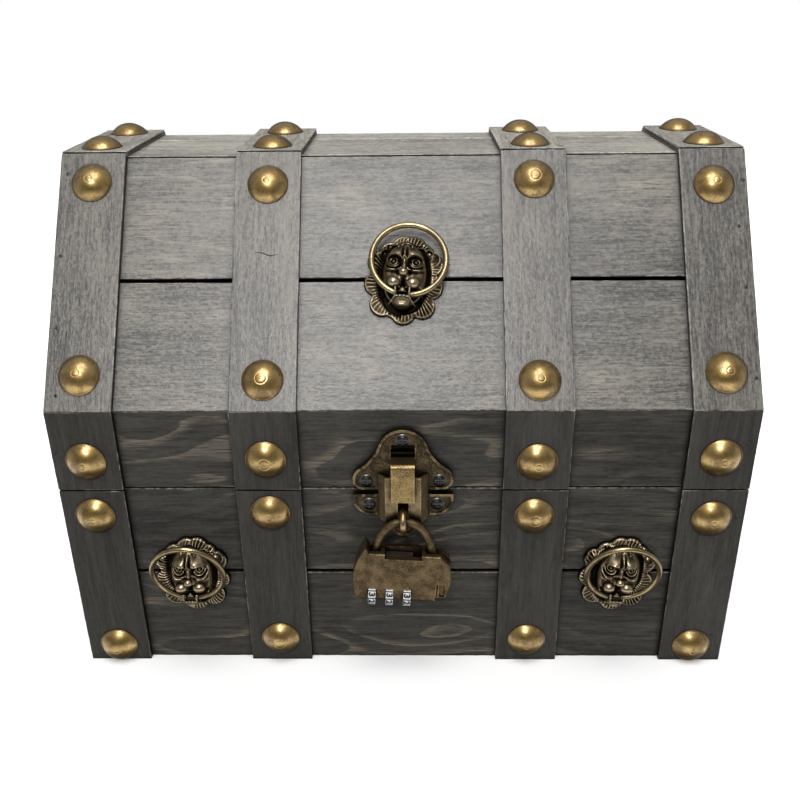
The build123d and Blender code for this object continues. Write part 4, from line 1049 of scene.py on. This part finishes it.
def mask_seats():
    """Each mask's place, right-hand and upward direction on the boards; it may be turned, by degrees to the left."""
    spots = {
        "lid": ((1.2, *slope_point(0.492 * SLOPE_LENGTH, FACE)), np.array([0, SLOPE_COS, SLOPE_SIN]), -4.0),
        "left": ((0.4 - BAY_MIDDLE, WOOD_Y, BASE_JOINT), Z_WAY, 0.0),
        "right": ((0.3 + BAY_MIDDLE, WOOD_Y, BASE_JOINT), Z_WAY, -6.0),
    }
    seats = {}
    for name, (place, up, turn) in spots.items():
        c, s = math.cos(math.radians(turn)), math.sin(math.radians(turn))
        seats[name] = (np.array(place), X_WAY * c + up * s, up * c - X_WAY * s)
    return seats


def make_lions(material):
    """The same mask three times, on the lid and low on both sides."""
    form, faces, fields = lion_form()
    for name, seat in mask_seats().items():
        piece = (laid(*seat, form), faces, fields)
        body = "lid" if name == "lid" else "base"
        add_piece(f"lion_{name}", piece, body, "antique_brass", material, f"lion_mask_{name}")


def make_rings(material):
    """Each ring is turned a little to one side and leans out from, or in to, its mask."""
    form, faces = ring_form()
    x, y, z = form.T
    for name, seat in mask_seats().items():
        turn, lean = (math.radians(angle) for angle in RING_SEATS[name])
        high = y * math.cos(lean) - z * math.sin(lean)
        w = y * math.sin(lean) + z * math.cos(lean) + MOUTH_RISE
        u = x * math.cos(turn) - high * math.sin(turn)
        v = x * math.sin(turn) + high * math.cos(turn) - MOUTH_DROP
        body = f"lion_ring_{name}"
        piece = (laid(*seat, np.column_stack((u, v, w))), faces)
        add_piece(f"pull_ring_{name}", piece, body, "antique_brass", material, body)


# ---------------- padlock number wheels
PADLOCK_CROWN = np.array([1.5, -107.3, 82.0])
PADLOCK_TILT = math.radians(3.5)
DIAL_PLACES = {"left": -12.9, "middle": -5.1, "right": 2.7}
DIAL_DROP = -36.8
DIAL_FORWARD = 1.2
DIAL_RADIUS = 5.6
DIAL_WIDTH = 3.7
DIAL_BORE = 1.05
DIAL_PHASE = math.radians(22.0)
PATCH_DROP = 0.15
GROOVE_DEPTH = 0.12
GROOVE_START = 0.385
# The wheel's section: places across it in half widths, and shares of the way from bore to rim
WHEEL_ACROSS = (-1.0, -1.0, -0.97, -0.9, -0.82, -0.4, 0, 0.4, 0.82, 0.9, 0.97, 1.0, 1.0, 0.0)
WHEEL_SHARES = (0, 0.955, 0.985, 1.0, 1.0, 1.0, 1.0, 1.0, 1.0, 1.0, 0.985, 0.955, 0, 0)
FRONT_NUMBER = 3
NUMBER_HEIGHT = 2.95
NUMBER_SPREAD = 3.4
NUMBER_LIFT = 0.25
NUMBER_DROP = 0.02
NUMBER_BOLDNESS = 0.045


def wheel_point(across, radius, angle):
    """A point of a number wheel: along its axle, and round it from the front upwards."""
    right = np.array([math.cos(PADLOCK_TILT), 0, -math.sin(PADLOCK_TILT)])
    up = np.array([math.sin(PADLOCK_TILT), 0, math.cos(PADLOCK_TILT)])
    spots = np.stack((across, DIAL_DROP + radius * np.sin(angle), DIAL_FORWARD + radius * np.cos(angle)), -1)
    return laid(PADLOCK_CROWN, right, up, spots)


def number_wheel(middle):
    """A round wheel: its closed section is turned about the axle, and ten shallow grooves part the white patches."""
    across = np.array(WHEEL_ACROSS) * DIAL_WIDTH / 2
    turn = full_turn(160)
    a, t = np.meshgrid(across, turn, indexing="ij")
    k = np.repeat(np.array(WHEEL_SHARES)[:, None], len(turn), 1)
    step = np.abs(((t - DIAL_PHASE) / (2 * np.pi) * 10 + 0.5) % 1 - 0.5)
    groove = np.clip((step - GROOVE_START) / 0.03, 0, 1)
    radius = DIAL_BORE + k * (DIAL_RADIUS - DIAL_BORE - PATCH_DROP) - GROOVE_DEPTH * groove * (k > 0.9)
    patch = (1 - groove) * (np.abs(a) < 0.86 * DIAL_WIDTH / 2) * (k > 0.99)
    points = wheel_point(a + middle, radius, t).reshape(-1, 3)
    quads = [tuple(quad) for quad in grid_faces(len(across), len(turn), True)]
    last, first = np.arange(len(points))[-len(turn):], np.arange(len(turn))
    quads += [tuple(quad) for quad in np.column_stack((last, np.roll(last, -1), np.roll(first, -1), first))]
    return points, quads, {"patch": patch.ravel()}


def digit_form(sign):
    """A numeral's flat mesh, centred, one unit high."""
    curve = bpy.data.curves.new(f"numeral_{sign}", "FONT")
    curve.body = sign
    curve.align_x = "CENTER"
    curve.align_y = "CENTER"
    curve.resolution_u = 3
    curve.offset = NUMBER_BOLDNESS
    text = bpy.data.objects.new(f"numeral_{sign}", curve)
    mesh = bpy.data.meshes.new_from_object(text)
    points = np.zeros(len(mesh.vertices) * 3)
    mesh.vertices.foreach_get("co", points)
    faces = [tuple(p.vertices) for p in mesh.polygons]
    bpy.data.objects.remove(text)
    points = points.reshape(-1, 3)
    low, high = points.min(0), points.max(0)
    return (points - (low + high) / 2) / (high[1] - low[1]), faces


def make_number_wheels(enamel, ink):
    """Three wheels, each with the numbers 0 to 9 lying on their sides just above its patches."""
    shapes = [digit_form(str(number)) for number in range(10)]
    for name, middle in DIAL_PLACES.items():
        body = f"padlock_dial_{name}"
        add_piece(f"number_wheel_{name}", number_wheel(middle), body, "dial_enamel", enamel, body)
        parts = []
        for number, (shape, faces) in enumerate(shapes):
            steps = (number - FRONT_NUMBER) % 10
            angle = (DIAL_PHASE + math.radians(36.0 * steps)
                     + (NUMBER_LIFT - shape[:, 0] * NUMBER_SPREAD) / DIAL_RADIUS)
            radius = np.full(len(shape), DIAL_RADIUS - NUMBER_DROP)
            parts.append((wheel_point(shape[:, 1] * NUMBER_HEIGHT + middle, radius, angle), faces, {}))
        add_piece(f"wheel_numbers_{name}", join_parts(parts), body, "dial_enamel", ink)


# ---------------- all of it
# Dark, pale and rubbed tone, how strong the arched figure is, roughness, gleam; the walls' and their straps' tones are
# painted shade: much darker copies of the slopes' stain for upright faces that the light from above hardly reaches
WOOD_STAINS_AND_PAINTED_SHADE = {
    "wall": ((0.0085, 0.0085, 0.0076), (0.049, 0.0455, 0.038), (0.20, 0.185, 0.155), 0.90, 0.60, 0.20),
    "wall_strap": ((0.0150, 0.0142, 0.0125), (0.043, 0.039, 0.033), (0.24, 0.22, 0.185), 0.10, 0.62, 0.20),
    "slope": ((0.015, 0.0138, 0.0116), (0.148, 0.136, 0.115), (0.44, 0.42, 0.37), 0.20, 0.31, 0.56),
    "slope_strap": ((0.020, 0.018, 0.015), (0.138, 0.125, 0.106), (0.44, 0.42, 0.37), 0.10, 0.31, 0.56),
    "top": ((0.090, 0.085, 0.074), (0.30, 0.287, 0.252), (0.52, 0.50, 0.43), 0.15, 0.42, 0.6),
    "top_strap": ((0.088, 0.083, 0.073), (0.28, 0.267, 0.234), (0.52, 0.50, 0.43), 0.10, 0.42, 0.6),
}
END_BOARD_WOOD = ((0.030, 0.027, 0.023), (0.080, 0.070, 0.057), (0.2, 0.18, 0.14), 0.45, 0.62, 0.25)
CRACK_PAINTED_SHADE = ((0.004, 0.004, 0.003), (0.012, 0.011, 0.009), (0.02, 0.02, 0.02), 0.1, 0.8)
# Bright and deep tone, roughness, and what else differs from brass_finish's own values
BRASSES = {
    "nail": ((0.43, 0.29, 0.098), (0.165, 0.098, 0.028), 0.21,
             dict(patina=0.80, speckle=0.25, hollow=None, rim="rise", coat=0.8)),
    "lion": ((0.33, 0.27, 0.175), (0.045, 0.033, 0.020), 0.27, dict(patina=0.10, speckle=0.05, hollow="relief")),
    "ring": ((0.32, 0.245, 0.115), (0.085, 0.055, 0.022), 0.18,
             dict(patina=0.60, speckle=0.12, coat=0.8, grain=2600.0)),
    "plate": ((0.30, 0.225, 0.12), (0.038, 0.028, 0.017), 0.28, dict(patina=0.22, speckle=0.20, wear=0.9, base=0.72)),
    "channel": ((0.36, 0.27, 0.145), (0.070, 0.051, 0.029), 0.28, dict(patina=0.30, speckle=0.20, wear=0.9, base=0.40)),
    "padlock": ((0.228, 0.162, 0.086), (0.052, 0.037, 0.020), 0.34,
                dict(patina=0.45, speckle=0.50, wear=0.9, base=0.20, grain=2700.0)),
    # the tongue's painted shade: brown, then near black, on its parts that lie deeper in, toward the lid plate's slot
    "tongue": ((0.33, 0.235, 0.105), (0.085, 0.058, 0.026), 0.28,
               dict(patina=0.35, speckle=0.45, wear=0.6, base=0.1, painted_shade_depths=(-0.1064, -0.1016))),
    "eye": ((0.36, 0.26, 0.12), (0.085, 0.058, 0.026), 0.22, dict(patina=0.30, speckle=0.2, coat=0.5)),
}
PAINTED_SHADOW_TONES = ((0.012, 0.010, 0.007), (0.004, 0.003, 0.002), 0.5)


def dress(material, *nodes):
    """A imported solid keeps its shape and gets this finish."""
    for name in nodes:
        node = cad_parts[name]
        if node.material_slots:
            for holder in node.material_slots:
                holder.material = material
        else:
            node.data.materials.append(material)


def make_metalwork():
    """Nails, masks, rings, wheels and small pins are modelled; hasp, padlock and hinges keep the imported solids."""
    brass = {name: brass_finish(f"{name}_brass", *tones, **rest) for name, (*tones, rest) in BRASSES.items()}
    screw = steel_finish("screw_dark_steel", (0.062, 0.060, 0.058), 0.24)
    plain = steel_finish("plain_steel", (0.32, 0.31, 0.29), 0.22)
    make_nails(brass["nail"])
    make_lions(brass["lion"])
    make_rings(brass["ring"])
    make_brads(screw)
    # a painted shadow: a near-black block on the lid plate where the slot's shade falls
    make_hasp_slot(brass_finish("painted_slot_shadow", *PAINTED_SHADOW_TONES))
    dress(brass["plate"], "hasp_lid_plate", "hasp_keeper_plate", "hinge_lid_leaves", "hinge_base_leaves")
    dress(brass["channel"], "hasp_channel")
    dress(brass["padlock"], "padlock_case_front", "padlock_case_back", "padlock_shackle")
    dress(brass["tongue"], "hasp_tongue")
    dress(brass["eye"], "padlock_eye")
    dress(screw, "hasp_plate_screws", "hasp_keeper_screws", "hinge_lid_screws", "hinge_base_screws")
    dress(plain, "hinge_pins", "hasp_tongue_pin", "padlock_dial_axle", "padlock_pivot_pin", "padlock_slider")
    make_number_wheels(enamel_finish(), ink_finish())


def make_all():
    """The whole picture: camera and stage, then wood, then metal."""
    make_camera()
    make_stage()
    woods = {}
    for key, values in WOOD_STAINS_AND_PAINTED_SHADE.items():
        woods[key] = wood_finish(f"{key}_stain", *values, soft=0.0 if "wall" in key else 1.0)
    make_woodwork(woods)
    ends = wood_finish("end_board_stain", *END_BOARD_WOOD, own_place=False)
    dress(ends, "base_left_end_board", "base_right_end_board", "lid_left_end_board", "lid_right_end_board",
          "base_floor_board")
    # the crack's near-black ribbon is painted shade
    make_crack(wood_finish("crack_shadow", *CRACK_PAINTED_SHADE, own_place=False))
    make_metalwork()


make_all()
